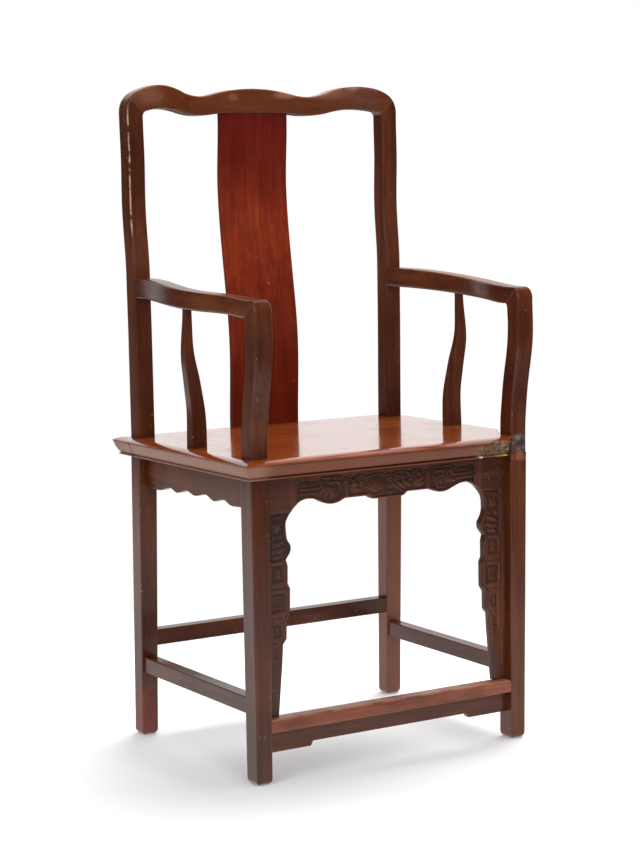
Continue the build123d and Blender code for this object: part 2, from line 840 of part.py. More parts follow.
def side_post_edge(way, top, base, full_swing):
    """One edge of the post: distance from its centre line plus its swing, and height."""
    return [
        (
            full_swing * swing + way * between(top, base, stoutness) / 2,
            seat_height + side_post_rise * share,
        )
        for share, swing, stoutness in side_post_curve
    ]


def side_post_outline(centre, top, base, full_swing):
    """The post's outline as seen from the front or from the side."""
    edges = []
    for way in (-1, 1):
        points = [(centre + x, z) for x, z in side_post_edge(way, top, base, full_swing)]
        edges.append(Spline(*points, tangents=[(0, 1), (0, 1)]))
    Line(edges[0] @ 0, edges[1] @ 0)
    Line(edges[0] @ 1, edges[1] @ 1)


with BuildPart() as side_post_right:
    with BuildSketch(Plane.XZ):
        with BuildLine():
            side_post_outline(
                side_post_x, side_post_top_width, side_post_base_width, side_post_swing
            )
        make_face()
    extrude(amount=seat_depth, both=True)
    with BuildSketch(Plane.YZ):
        with BuildLine():
            side_post_outline(
                side_post_y, side_post_top_depth, side_post_base_depth, -side_post_lean
            )
        make_face()
    extrude(amount=reach, mode=Mode.INTERSECT)
    fillet(
        [
            edge
            for edge in side_post_right.edges()
            if seat_height + 1 < edge.center().Z < side_post_top - 1
        ],
        side_post_round,
    )
    add(arm_rail_right.part, mode=Mode.SUBTRACT)
    block(*side_post_foot_tenon)
    block(*side_post_head_tenon)

# ------------------------------------------------------------------ splat
# Side view: shares of its height, and offsets from a straight line between its two ends.
splat_curve = ((0.15, -6.2), (0.30, -9.5), (0.45, -3.1), (0.65, 7.7), (0.81, 9.4))
splat_foot_y = seat_back - splat_foot_inset
splat_head_y = crest_centre_y + splat_head_inset
splat_shoulder = crest_top - crest_bottom_middle_drop - 6.0
splat_top = crest_top - crest_bottom_middle_drop + splat_housing


def splat_side(grow):
    """Side view of the splat, grown for its housings."""
    for y_shift in (-grow, splat_thickness + grow):
        foot = Line(
            (splat_foot_y + y_shift, seat_height - splat_housing - grow),
            (splat_foot_y + y_shift, seat_height),
        )
        points = [
            (
                between(splat_foot_y, splat_head_y, share) + bend + y_shift,
                between(seat_height, splat_shoulder, share),
            )
            for share, bend in splat_curve
        ]
        curve = Spline(
            foot @ 1,
            *points,
            (splat_head_y + y_shift, splat_shoulder),
            tangents=[(0, 1), (0, 1)],
        )
        Line(curve @ 1, (splat_head_y + y_shift, splat_top + grow))
    for y, z in (
        (splat_foot_y, seat_height - splat_housing - grow),
        (splat_head_y, splat_top + grow),
    ):
        Line((y - grow, z), (y + splat_thickness + grow, z))


with BuildPart() as back_splat:
    with BuildSketch(Plane.YZ.offset(splat_shift)):
        with BuildLine():
            splat_side(0)
        make_face()
    extrude(amount=splat_width / 2, both=True)
    fillet(
        back_splat.edges().filter_by(Axis.X, reverse=True).filter_by(
            lambda edge: seat_height < edge.center().Z < splat_shoulder and edge.length > splat_width
        ),
        splat_round,
    )

with BuildPart() as splat_space:
    with BuildSketch(Plane.YZ.offset(splat_shift)):
        with BuildLine():
            splat_side(fit)
        make_face()
    extrude(amount=splat_width / 2 + fit, both=True)

with BuildPart() as crest_rail_housed:
    add(crest_rail.part)
    add(splat_space.part, mode=Mode.SUBTRACT)
    block(*crest_corner_tenon, Mode.SUBTRACT, fit)
    block(*mirror_block(crest_corner_tenon), Mode.SUBTRACT, fit)

# ------------------------------------------------------------------ seat frame
def moulded_rail(plane, width, mode=Mode.ADD):
    """A rail with its moulded edge: x runs inwards from the edge, y up from the underside."""
    with BuildSketch(plane) as section:
        with BuildLine():
            bottom = Line((width, 0), (mould_inset, 0))
            bead = ThreePointArc(
                bottom @ 1, (mould_inset - bead_bulge, bead_height / 2), (mould_inset, bead_height)
            )
            groove = Polyline(
                bead @ 1,
                (mould_inset + bead_bulge, bead_height + groove_height / 2),
                (mould_inset, bead_height + groove_height),
            )
            swell = ThreePointArc(
                groove @ 1,
                (mould_inset * 0.42, between(bead_height + groove_height, lip_bottom, 0.5)),
                (lip_step, lip_bottom),
            )
            lip = Polyline(swell @ 1, (0, lip_bottom + lip_step / 2), (0, lip_top))
            slope = ThreePointArc(
                lip @ 1,
                (slope_width * 0.45, between(lip_top, seat_thickness, 0.68)),
                (slope_width, seat_thickness),
            )
            Polyline(slope @ 1, (width, seat_thickness), (width, 0))
        make_face()
    extrude(section.sketch, amount=seat_width, both=True, mode=mode)


def side_rail_plane(way):
    """Section plane of a side rail; way is 1 on the right."""
    return Plane(
        origin=(way * seat_half, 0, underside), x_dir=(-way, 0, 0), z_dir=(0, way, 0)
    )


front_section = Plane(origin=(0, seat_front, underside), x_dir=(0, 1, 0), z_dir=(1, 0, 0))
rear_section = Plane(origin=(0, seat_back, underside), x_dir=(0, -1, 0), z_dir=(-1, 0, 0))
frame_corner = (seat_half, seat_front)
inner_corner_front = (rail_inner_x, rail_inner_y)

# Tongues on the upper edges of the aprons
def top_tongue(x_low, x_high, y_low, y_high):
    return (x_low, y_low, underside - bite), (x_high, y_high, underside + apron_top_reach)


front_tongue_x = front_leg_inner_x(underside) - bite
rear_tongue_x = rear_leg_inner_x(underside) - bite
front_top_tongue = top_tongue(
    -front_tongue_x, front_tongue_x, front_tongue_y, front_tongue_y + apron_tongue
)
rear_top_tongue = top_tongue(
    -rear_tongue_x, rear_tongue_x, rear_tongue_y, rear_tongue_y + apron_tongue
)
side_top_tongue = top_tongue(
    side_tongue_x,
    side_tongue_x + apron_tongue,
    front_leg_back_y(underside) + bite,
    rear_rail_front - 4.0,
)

# The broken corner, in plan: a ragged line from the side, round the post and out to the front
break_side_y = seat_front + break_along_side
break_front_x = seat_half - break_along_front
break_outline = [
    (seat_half + bite, break_side_y),
    (seat_half - 15.0, break_side_y - 22.0),
    (seat_half - 25.0, break_side_y - 36.0),
    (seat_half - 39.0, break_side_y - 61.0),
    (front_post_inner_x - fit, front_post_back_y + fit),
    (front_post_inner_x - fit, front_post_y - fit),
    (front_post_inner_x - 5.0, front_post_y - 11.0),
    (break_front_x + 4.0, seat_front + 9.0),
    (break_front_x, seat_front - bite),
    (seat_half + bite, seat_front - bite),
]


def panel_groove(low, high):
    """Groove in a rail's inner edge for the panel's tongue."""
    block(
        (*low, panel_tongue_low),
        (*high, panel_tongue_high),
        Mode.SUBTRACT,
        fit,
    )


panel_reach_x = rail_inner_x + tongue_reach
panel_front = rail_inner_y - tongue_reach
panel_rear = rear_rail_front + tongue_reach
batten_low = panel_underside - batten_height
batten_corners = [
    (
        (way * batten_spread / 2 - batten_width / 2, panel_front + fit, batten_low),
        (way * batten_spread / 2 + batten_width / 2, panel_rear - fit, panel_underside),
    )
    for way in (-1, 1)
]

with BuildPart() as seat_front_rail:
    moulded_rail(front_section, rail_width)
    prism(
        Plane.XY.offset(underside),
        [
            (-frame_corner[0], frame_corner[1]),
            frame_corner,
            inner_corner_front,
            (-inner_corner_front[0], inner_corner_front[1]),
        ],
        seat_thickness,
        Mode.INTERSECT,
    )
    for way in (-1, 1):
        post_hole(way * front_post_x, front_post_y + front_post_depth / 2, post_width, front_post_depth)
    block(*seat_corner_tenon, Mode.SUBTRACT, fit)
    block(*mirror_block(seat_corner_tenon), Mode.SUBTRACT, fit)
    panel_groove((-panel_reach_x, panel_front), (panel_reach_x, rail_inner_y + bite))
    for corners in batten_corners:
        block(*corners, Mode.SUBTRACT, fit)
    block(*front_top_tongue, Mode.SUBTRACT, fit)
    prism(Plane.XY.offset(underside), break_outline, seat_thickness, Mode.SUBTRACT)

with BuildPart() as seat_side_rail:
    moulded_rail(side_rail_plane(1), rail_width)
    prism(
        Plane.XY.offset(underside),
        [
            frame_corner,
            (seat_half, rear_rail_front),
            (rail_inner_x, rear_rail_front),
            inner_corner_front,
        ],
        seat_thickness,
        Mode.INTERSECT,
    )
    post_hole(front_post_x, front_post_y + front_post_depth / 2, post_width, front_post_depth)
    block(*seat_corner_tenon)
    block(*seat_rear_tenon)
    panel_groove((rail_inner_x - bite, panel_front), (panel_reach_x, panel_rear))
    block(*side_post_foot_tenon, Mode.SUBTRACT, fit)
    block(*side_top_tongue, Mode.SUBTRACT, fit)

with BuildPart() as seat_side_rail_left:
    mirror(seat_side_rail.part, about=Plane.YZ)

with BuildPart() as seat_side_rail_right:
    add(seat_side_rail.part)
    prism(Plane.XY.offset(underside), break_outline, seat_thickness, Mode.SUBTRACT)

with BuildPart() as seat_rear_rail:
    moulded_rail(rear_section, rear_rail_width)
    for way in (-1, 1):
        # The moulding returns round both of its ends.
        moulded_rail(side_rail_plane(way), reach, Mode.INTERSECT)
        post_hole(way * rear_post_x, rear_post_y + rear_post_depth / 2, post_width, rear_post_depth)
    block(*seat_rear_tenon, Mode.SUBTRACT, fit)
    block(*mirror_block(seat_rear_tenon), Mode.SUBTRACT, fit)
    panel_groove((-panel_reach_x, rear_rail_front - bite), (panel_reach_x, panel_rear))
    for corners in batten_corners:
        block(*corners, Mode.SUBTRACT, fit)
    add(splat_space.part, mode=Mode.SUBTRACT)
    block(*rear_top_tongue, Mode.SUBTRACT, fit)

with BuildPart() as seat_panel:
    block(
        (-rail_inner_x + seam, rail_inner_y + seam, panel_underside),
        (rail_inner_x - seam, rear_rail_front - seam, seat_height),
    )
    block(
        (-panel_reach_x + fit, panel_front + fit, panel_tongue_low),
        (panel_reach_x - fit, panel_rear - fit, panel_tongue_high),
    )

with BuildPart() as seat_batten_left:
    block(*batten_corners[0])

with BuildPart() as seat_batten_right:
    block(*batten_corners[1])

# ------------------------------------------------------------------ front apron and spandrels
# The pendant is placed from the middle of the apron, the lobe and the cusp from the leg.
# Heights are drops from the seat's underside.
leg_x = front_leg_inner_x(underside)
pendant_half = 26.0
pendant_shoulder = 36.0
pendant_drop = 52.0
plain_drop = 46.0
lobe_start = 144.0
lobe_middle = 122.0
lobe_end = 99.0
lobe_drop = 52.7
lobe_end_drop = 46.2
cusp_middle = 74.0
cusp_drop = 41.2
spandrel_head = 47.0  # how far the spandrel's head reaches from the leg
# The wavy groove that borders the carving: distances from the middle, and drops
carved_border = (
    (0.0, 12.5),
    (6.0, 15.5),
    (14.0, 11.5),
    (30.0, 12.0),
    (40.0, 15.0),
    (50.0, 10.5),
    (58.0, 11.0),
    (66.0, 16.0),
    (76.0, 14.5),
    (84.0, 10.0),
    (122.0, 9.5),
    (126.0, 15.5),
    (140.0, 16.0),
    (162.0, 14.0),
)
carved_border_end = 52.0  # drop of its lower end

with BuildPart() as front_apron:
    with BuildSketch(front_apron_face):
        with BuildLine():
            pendant = Line((0, -pendant_drop), (pendant_half, -pendant_drop))
            rise = ThreePointArc(
                pendant @ 1,
                (pendant_shoulder - 3.5, -between(pendant_drop, plain_drop, 0.4)),
                (pendant_shoulder, -plain_drop),
            )
            plain = Line(rise @ 1, (leg_x - lobe_start, -plain_drop))
            lobe = ThreePointArc(
                plain @ 1, (leg_x - lobe_middle, -lobe_drop), (leg_x - lobe_end, -lobe_end_drop)
            )
            cusp = ThreePointArc(
                lobe @ 1,
                (leg_x - cusp_middle, -cusp_drop),
                (leg_x - spandrel_head, -apron_joint_drop),
            )
            Polyline(
                cusp @ 1,
                (front_leg_inner_x(apron_joint), -apron_joint_drop),
                (leg_x, 0),
                (0, 0),
            )
            mirror(about=Plane.YZ)
        make_face()
    extrude(amount=-front_apron_thickness)
    with BuildSketch(front_apron_face) as border:
        with BuildLine():
            half = [(x, -drop) for x, drop in carved_border]
            end = (half[-1][0] + 2.0, -carved_border_end)
            Polyline(*mirrored([*half, end]))
        trace(line_width=carved_groove_width)
    extrude(border.sketch, amount=-carved_groove_depth, mode=Mode.SUBTRACT)
    trim_to_front_legs()
    for way in (-1, 1):
        end_tongue(
            board_on_apron,
            lambda z: way * front_leg_inner_x(z),
            way,
            (apron_joint, underside - bite),
            front_tongue_inset,
        )
    block(*front_top_tongue)

with BuildPart() as front_spandrel:
    with BuildSketch(front_apron_face):
        with BuildLine():
            # A lobed head, three stepped blocks and a plain tapering tail, measured from the leg
            outline = [
                (leg_x - inset, -drop)
                for inset, drop in (
                    (spandrel_head, apron_joint_drop),
                    (39.5, 69.0),
                    (38.0, 80.5),
                    (40.0, 99.0),
                    (45.5, 108.0),
                    (46.5, 116.0),
                    (43.0, 124.0),
                    (37.0, 131.5),
                    (39.5, 141.0),
                    (39.0, 167.5),
                    (43.0, 175.5),
                    (42.5, 215.0),
                    (36.5, 224.0),
                    (36.0, 253.0),
                    (29.5, 261.0),
                    (28.0, 287.0),
                )
            ]
            ThreePointArc(*outline[0:3])
            ThreePointArc(*outline[2:5])
            ThreePointArc(*outline[4:7])
            foot_z = footrest_top - bite
            Polyline(
                *outline[6:],
                (front_leg_inner_x(foot_z) - 21.5, foot_z - underside),
                (front_leg_inner_x(foot_z), foot_z - underside),
                (front_leg_inner_x(apron_joint), -apron_joint_drop),
                outline[0],
            )
        make_face()
    extrude(amount=-front_apron_thickness)
    trim_to_front_legs()
    end_tongue(board_on_apron, front_leg_inner_x, 1, (foot_z, apron_joint), front_tongue_inset)
    block((-reach, -reach, footrest_top), (reach, reach, underside), Mode.INTERSECT)

# ------------------------------------------------------------------ side and rear aprons
# Lower edge of a side apron: shares of its length from the front leg, and drops.
side_apron_edge = (
    (0.00, 50.0),
    (0.067, 49.0),
    (0.17, 48.4),
    (0.21, 43.8),
    (0.32, 49.1),
    (0.385, 42.5),
    (0.51, 48.0),
    (0.59, 43.0),
    (0.69, 50.0),
    (0.75, 45.0),
    (0.83, 50.5),
    (1.00, side_apron_height),
)

with BuildPart() as side_apron_right:
    with BuildSketch(Plane.YZ.offset(side_apron_x)):
        with BuildLine():
            waves = Spline(
                *[
                    (
                        between(
                            front_leg_back_y(underside - drop),
                            rear_leg_front_y(underside - drop),
                            share,
                        ),
                        underside - drop,
                    )
                    for share, drop in side_apron_edge
                ],
                tangents=[(1, 0), (1, 0)],
            )
            Polyline(
                waves @ 0,
                (front_leg_back_y(underside), underside),
                (rear_leg_front_y(underside), underside),
                waves @ 1,
            )
        make_face()
    extrude(amount=apron_thickness)
    block(*side_top_tongue)
    end_tongue(*side_front_tongue)
    end_tongue(*side_rear_tongue)

# Nails in the left side apron: distance before the back leg, and drop from the seat's underside
nail_places = ((15.0, 18.6), (11.5, 29.2), (21.7, 42.7))
nail_head_x = -side_apron_x - apron_thickness


def nails(radius, mode=Mode.ADD):
    with Locations(
        *[
            Plane.YZ.offset(nail_head_x)
            * Location((rear_leg_front_y(underside) - before, underside - drop, 0))
            for before, drop in nail_places
        ]
    ):
        Cylinder(
            radius,
            nail_length,
            align=(Align.CENTER, Align.CENTER, Align.MIN),
            mode=mode,
        )


with BuildPart() as side_apron_left:
    mirror(side_apron_right.part, about=Plane.YZ)
    nails(nail_radius + nail_fit, Mode.SUBTRACT)

with BuildPart() as side_apron_nails:
    nails(nail_radius)

with BuildPart() as rear_apron:
    half = [
        (rear_leg_inner_x(underside), underside),
        (rear_leg_inner_x(rear_apron_low), rear_apron_low),
        (rear_leg_inner_x(rear_apron_low) - 26.0, rear_apron_low),
        (rear_leg_inner_x(rear_apron_low) - 36.0, rear_apron_low + 7.0),
    ]
    board_on_y(half + [(-x, z) for x, z in reversed(half)], rear_apron_y, apron_thickness)
    block(*rear_top_tongue)
    for way in (-1, 1):
        end_tongue(
            board_on_y,
            lambda z: way * rear_leg_inner_x(z),
            way,
            (rear_apron_low, underside),
            rear_tongue_y,
        )

# ------------------------------------------------------------------ stretchers and footrest
def level_rail(inner_x, levels, y_low, depth):
    """A rail between two leaning legs; levels are its lowest and highest point."""
    z_low, z_high = levels
    points = [
        (inner_x(z_low), z_low),
        (inner_x(z_high), z_high),
        (-inner_x(z_high), z_high),
        (-inner_x(z_low), z_low),
    ]
    board_on_y(points, y_low, depth)


with BuildPart() as footrest_rail:
    level_rail(front_leg_inner_x, (footrest_bottom, footrest_top), footrest_y, footrest_depth)
    long_edges = footrest_rail.edges().filter_by(Axis.X)
    upper_edges = long_edges.group_by(Axis.Z)[-1]
    fillet(upper_edges, footrest_round)
    for way in (footrest_tenon, mirror_block(footrest_tenon)):
        block(*way)
    block(*footrest_top_tongue, Mode.SUBTRACT, fit)

with BuildPart() as footrest_apron:
    step_x = front_leg_inner_x(footrest_apron_low) - footrest_apron_step
    half = [
        (front_leg_inner_x(footrest_bottom), footrest_bottom),
        (front_leg_inner_x(footrest_apron_low), footrest_apron_low),
        (step_x, footrest_apron_low),
        (step_x - 4.0, footrest_apron_high),
    ]
    board_on_y(half + [(-x, z) for x, z in reversed(half)], footrest_apron_y, apron_thickness)
    block(*footrest_top_tongue)
    for way in (-1, 1):
        end_tongue(
            board_on_y,
            lambda z: way * front_leg_inner_x(z),
            way,
            (footrest_apron_low, footrest_bottom),
            footrest_tongue_y,
        )

with BuildPart() as rear_stretcher:
    rear_levels = (rear_stretcher_top - rear_stretcher_height, rear_stretcher_top)
    level_rail(rear_leg_inner_x, rear_levels, rear_stretcher_y, rear_stretcher_depth)
    fillet(rear_stretcher.edges().filter_by(Axis.X), stretcher_round)
    block(*rear_stretcher_tenon)
    block(*mirror_block(rear_stretcher_tenon))

with BuildPart() as side_stretcher_right:
    side_low = side_stretcher_top - side_stretcher_height
    board_on_x(
        [
            (front_leg_back_y(side_low), side_low),
            (front_leg_back_y(side_stretcher_top), side_stretcher_top),
            (rear_leg_front_y(side_stretcher_top), side_stretcher_top),
            (rear_leg_front_y(side_low), side_low),
        ],
        0,
        reach,
    )
    plan = [(outer_face(y), y) for y in (seat_front, seat_back)]
    prism(
        Plane.XY,
        plan + [(x - side_stretcher_width, y) for x, y in reversed(plan)],
        seat_height,
        Mode.INTERSECT,
    )
    fillet(
        side_stretcher_right.edges().filter_by(lambda edge: edge.length > seat_depth / 2),
        stretcher_round,
    )
    block(*side_front_tenon)
    block(*side_rear_tenon)

# ------------------------------------------------------------------ export
pieces = dict(
    seat_batten_left=seat_batten_left,
    seat_batten_right=seat_batten_right,
    back_leg_left=back_leg_left,
    back_leg_right=back_leg_right,
    back_left_foot_splice=back_left_foot_splice,
    crest_rail=crest_rail_housed,
    back_splat=back_splat,
    seat_front_rail=seat_front_rail,
    seat_side_rail_left=seat_side_rail_left,
    seat_side_rail_right=seat_side_rail_right,
    seat_rear_rail=seat_rear_rail,
    seat_panel=seat_panel,
    front_apron=front_apron,
    side_apron_left=side_apron_left,
    side_apron_right=side_apron_right,
    side_apron_nails=side_apron_nails,
    rear_apron=rear_apron,
    footrest_rail=footrest_rail,
    footrest_apron=footrest_apron,
    rear_stretcher=rear_stretcher,
)
for name, right_piece in (
    ("front_leg", front_leg_right),
    ("arm_rail", arm_rail_right),
    ("side_post", side_post_right),
    ("front_spandrel", front_spandrel),
    ("side_stretcher", side_stretcher_right),
):
    with BuildPart() as left_piece:
        mirror(right_piece.part, about=Plane.YZ)
    pieces[f"{name}_left"] = left_piece
    pieces[f"{name}_right"] = right_piece

for name, piece in pieces.items():
    piece.part.label = name
    export_step(piece.part, f"parts/{name}.step")
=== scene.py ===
"""Southern official's hat armchair: polished wood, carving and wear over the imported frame.

Metres, in the frame's own axes: +Z is up, the chair faces -Y, and "left" is -X.
"""

import json
import math

import bmesh
import bpy
import numpy as np
from bpy.props import FloatProperty, FloatVectorProperty, PointerProperty
from mathutils import Matrix, Vector, noise


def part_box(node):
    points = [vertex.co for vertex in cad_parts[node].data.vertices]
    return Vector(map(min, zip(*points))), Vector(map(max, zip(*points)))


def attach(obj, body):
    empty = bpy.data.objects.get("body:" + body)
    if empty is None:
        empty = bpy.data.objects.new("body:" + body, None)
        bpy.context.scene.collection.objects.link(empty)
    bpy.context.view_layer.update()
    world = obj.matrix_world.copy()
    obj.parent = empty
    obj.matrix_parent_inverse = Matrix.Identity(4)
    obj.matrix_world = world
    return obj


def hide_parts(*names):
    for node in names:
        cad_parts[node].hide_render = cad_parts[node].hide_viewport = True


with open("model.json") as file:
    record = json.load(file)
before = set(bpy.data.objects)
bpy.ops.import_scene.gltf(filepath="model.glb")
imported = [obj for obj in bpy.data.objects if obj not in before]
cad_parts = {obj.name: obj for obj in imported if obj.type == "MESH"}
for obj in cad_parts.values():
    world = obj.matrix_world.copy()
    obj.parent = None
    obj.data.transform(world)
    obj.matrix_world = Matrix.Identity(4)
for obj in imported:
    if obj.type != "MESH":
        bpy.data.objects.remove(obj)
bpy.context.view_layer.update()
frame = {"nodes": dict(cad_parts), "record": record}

bl_info = {
    "name": "Official's Hat Armchair",
    "version": (1, 0, 0),
    "blender": (4, 5, 0),
    "location": "3D View > Sidebar > Armchair",
    "description": "Polished wood, carving and wear for an official's hat armchair",
    "category": "Object",
}

MM = 0.001

# ------------------------------------------------------------------ places, from the frame
TONGUE_REACH = 6 * MM  # the apron's tongue stands this far inside the seat frame
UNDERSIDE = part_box("front_apron")[1].z - TONGUE_REACH
APRON_FACE_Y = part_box("front_apron")[0].y
APRON_LEAN = 6.8 / 471  # the front apron and spandrels lean 6.8 mm over the legs' 471 mm
LEG_INNER_X = 223.6 * MM  # inner faces of the front legs, under the seat
PANEL_TONGUE = 7.8 * MM  # the panel's tongue stands this far inside the rails
PANEL_LOW, PANEL_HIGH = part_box("seat_panel")
RAIL_INNER_X = PANEL_HIGH.x - PANEL_TONGUE
RAIL_INNER_FRONT = PANEL_LOW.y + PANEL_TONGUE
RAIL_INNER_REAR = PANEL_HIGH.y - PANEL_TONGUE
SEAT_TOP = PANEL_HIGH.z
SEAT_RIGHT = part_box("seat_rear_rail")[1].x
SEAT_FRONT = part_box("seat_front_rail")[0].y
SPLAT_MIDDLE = SEAT_TOP + 300 * MM  # the splat is palest here
BUTT_JOINT_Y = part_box("seat_side_rail_left")[1].y  # the left side rail ends here
CREST_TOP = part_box("crest_rail")[1].z
CREST_LOW = CREST_TOP - 42 * MM  # lower edge of the crest, over the splat
CREST_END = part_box("crest_rail")[1].x
CREST_HEIGHT = 44.5 * MM  # of the rail's ends, where the mitres cross it
CREST_DEEP = 60 * MM  # a mark of this half depth goes through the bowed crest
POST_WIDTH = 31 * MM


def srgb(red, green, blue):
    """A colour given as it is seen, from 0 to 255, as linear light with full alpha."""
    values = [v / 255 for v in (red, green, blue)]
    linear = [v / 12.92 if v <= 0.04045 else ((v + 0.055) / 1.055) ** 2.4 for v in values]
    return (*linear, 1.0)


def tone(label, red, green, blue):
    """A colour that a user may change."""
    return FloatVectorProperty(
        name=label,
        description=f"{label} tone of the wood",
        subtype="COLOR",
        size=4,
        min=0.0,
        max=1.0,
        default=srgb(red, green, blue),
    )


class ArmchairColours(bpy.types.PropertyGroup):
    """Wood tones"""

    frame_dark: tone("Frame dark", 40, 15, 6)
    frame_middle: tone("Frame middle", 74, 32, 13)
    frame_light: tone("Frame light", 104, 54, 26)
    frame_worn: tone("Frame worn", 150, 98, 66)
    splat_dark: tone("Splat dark", 84, 18, 3)
    splat_middle: tone("Splat middle", 120, 38, 8)
    splat_light: tone("Splat light", 146, 58, 18)
    seat_dark: tone("Seat dark", 96, 40, 13)
    seat_middle: tone("Seat middle", 130, 60, 23)
    seat_light: tone("Seat light", 156, 82, 36)
    footrest_dark: tone("Footrest dark", 70, 34, 22)
    footrest_middle: tone("Footrest middle", 118, 62, 42)
    footrest_light: tone("Footrest light", 150, 90, 62)


class ArmchairSizes(bpy.types.PropertyGroup):
    """Sizes of the carving and the wear"""

    carving_depth: FloatProperty(
        name="Carving Depth",
        description="How deep the ground of the carving lies",
        default=0.0024,
        min=0.0005,
        max=0.004,
        unit="LENGTH",
    )
    carving_step: FloatProperty(
        name="Carving Step",
        description="Size of the facets of the carving",
        default=0.0013,
        min=0.0006,
        max=0.01,
        unit="LENGTH",
    )
    edge_round: FloatProperty(
        name="Edge Round",
        description="How far the edges look rounded",
        default=0.0009,
        min=0.0,
        max=0.003,
        unit="LENGTH",
    )
    splinter_depth: FloatProperty(
        name="Splinter Depth",
        description="Roughness of the broken seat corner",
        default=0.0028,
        min=0.0,
        max=0.006,
        unit="LENGTH",
    )


def context_sizes():
    """The sizes of the carving and the wear."""
    return bpy.context.scene.armchair_sizes


def context_colours():
    """The wood tones, as plain tuples."""
    group = bpy.context.scene.armchair_colours
    return {name: tuple(getattr(group, name)) for name in ArmchairColours.__annotations__}


# ------------------------------------------------------------------ shader maths
def plug(socket, value):
    """A link into a socket, or a value on it."""
    if isinstance(value, Sock):
        value.tree.links.new(value.socket, socket)
    else:
        socket.default_value = value


class Sock:
    """An output socket in a node tree. Arithmetic on it adds Math nodes."""

    def __init__(self, tree, socket):
        self.tree = tree
        self.socket = socket

    def node(self, kind, settings=None, output=0, **inputs):
        """Any node: its settings first, then values or links for its sockets."""
        made = self.tree.nodes.new(kind)
        for name, value in (settings or {}).items():
            if name == "stops":
                ramp = made.color_ramp
                while len(ramp.elements) < len(value):
                    ramp.elements.new(0.5)
                for element, (place, colour) in zip(ramp.elements, value):
                    element.position = place
                    element.color = colour
            else:
                setattr(made, name, value)
        for name, value in inputs.items():
            key = int(name[1:]) if name[0] == "i" and name[1:].isdigit() else name.replace("_", " ")
            plug(made.inputs[key], value)
        return Sock(self.tree, made.outputs[output])

    def math(self, operation, other=0.0, swap=False):
        """A Math node on this value and another."""
        first, second = (other, self) if swap else (self, other)
        return self.node("ShaderNodeMath", {"operation": operation}, i0=first, i1=second)

    def vector(self, operation, output=0, **inputs):
        """Vector Math on this socket, and on a second value given as i1."""
        return self.node(
            "ShaderNodeVectorMath", {"operation": operation}, output=output, i0=self, **inputs
        )

    def length(self):
        """How long this vector is."""
        return self.vector("LENGTH", output=1)

    def dot(self, direction):
        """How far this vector goes in a direction."""
        return self.vector("DOT_PRODUCT", output=1, i1=direction)

    def __add__(self, other):
        return self.math("ADD", other)

    def __radd__(self, other):
        return self.math("ADD", other)

    def __sub__(self, other):
        return self.math("SUBTRACT", other)

    def __rsub__(self, other):
        return self.math("SUBTRACT", other, swap=True)

    def __mul__(self, other):
        return self.math("MULTIPLY", other)

    def __rmul__(self, other):
        return self.math("MULTIPLY", other)

    def smooth(self, low, high):
        """0 below low and 1 above high, with a soft step between them."""
        return self.node(
            "ShaderNodeMapRange",
            {"interpolation_type": "SMOOTHSTEP"},
            Value=self,
            From_Min=low,
            From_Max=high,
        )

    def band(self, low, high, soft):
        """1 between low and high."""
        return self.smooth(low - soft, low + soft) * (1 - self.smooth(high - soft, high + soft))

    def ramp(self, *stops):
        """A colour ramp's colour at this value; each stop is a place and a colour."""
        return self.node("ShaderNodeValToRGB", {"stops": stops}, Fac=self)

    def cover(self, share, colour, blend="MIX"):
        """This colour with another over it, in a share from 0 to 1."""
        return self.node(
            "ShaderNodeMix",
            {"data_type": "RGBA", "blend_type": blend},
            output=2,
            i0=share,
            i6=self,
            i7=colour,
        )

    def tint(self, share, colour):
        """This colour, multiplied by another in a share from 0 to 1."""
        return self.cover(share, colour, "MULTIPLY")

    def moved(self, scale=(1, 1, 1), place=(0, 0, 0)):
        """These coordinates, scaled and shifted."""
        return self.node("ShaderNodeMapping", Vector=self, Scale=scale, Location=place)

    def noise(self, scale, detail=3.0, rough=0.55, warp=0.0):
        """Clouds from 0 to 1, scale cells to a metre."""
        return self.node(
            "ShaderNodeTexNoise",
            Vector=self,
            Scale=scale,
            Detail=detail,
            Roughness=rough,
            Distortion=warp,
        )

    def axis(self, index):
        """X, Y or Z of this vector, by 0, 1 or 2."""
        return self.node("ShaderNodeSeparateXYZ", output=index, Vector=self)

    def spot(self, centre, radii, edge):
        """1 inside an ellipsoid about a point, in metres; edge is its softness, up to 1."""
        offset = self.vector("SUBTRACT", i1=centre)
        far = offset.vector("MULTIPLY", i1=[1 / r for r in radii]).length()
        return 1 - far.smooth(1 - edge, 1 + edge)


def new_material(name):
    """An empty material: its tree's object coordinates, and its shader node."""
    material = bpy.data.materials.new(name)
    material.use_nodes = True
    tree = material.node_tree
    shader = tree.nodes["Principled BSDF"]
    coordinates = tree.nodes.new("ShaderNodeTexCoord")
    return material, Sock(tree, coordinates.outputs["Object"]), shader


def feed(shader, **inputs):
    """Values and links for the shader's own sockets."""
    for name, value in inputs.items():
        plug(shader.inputs[name.replace("_", " ")], value)


RUBBED_EDGE = 2.4 * MM  # how wide an edge's wear reaches
JOINT_LINE = 0.35  # half width and softness of a joint's line, in millimetres
LONG = {"x": (0.04, 1, 1), "y": (1, 0.04, 1), "z": (1, 1, 0.04)}  # stretch along the grain
# Cells to a metre in the wood's patterns; the last three run along the grain
CLOUDS, PATCHES, WORN_GAPS, SPECKS = 5.0, 14, 45, 260
STREAKS, FINE_GRAIN, PORES = 85, 520, 1100


def surface_normal(place):
    """The piece's own normal."""
    return place.node("ShaderNodeNewGeometry", output=1)


def round_normal(place, radius):
    """The normal with hard edges rounded off."""
    return place.node("ShaderNodeBevel", {"samples": 4}, Radius=radius)


def edge_mask(place):
    """Bright along the piece's edges, where hands and cloths have worn it."""
    return 1 - round_normal(place, RUBBED_EDGE).dot(surface_normal(place))


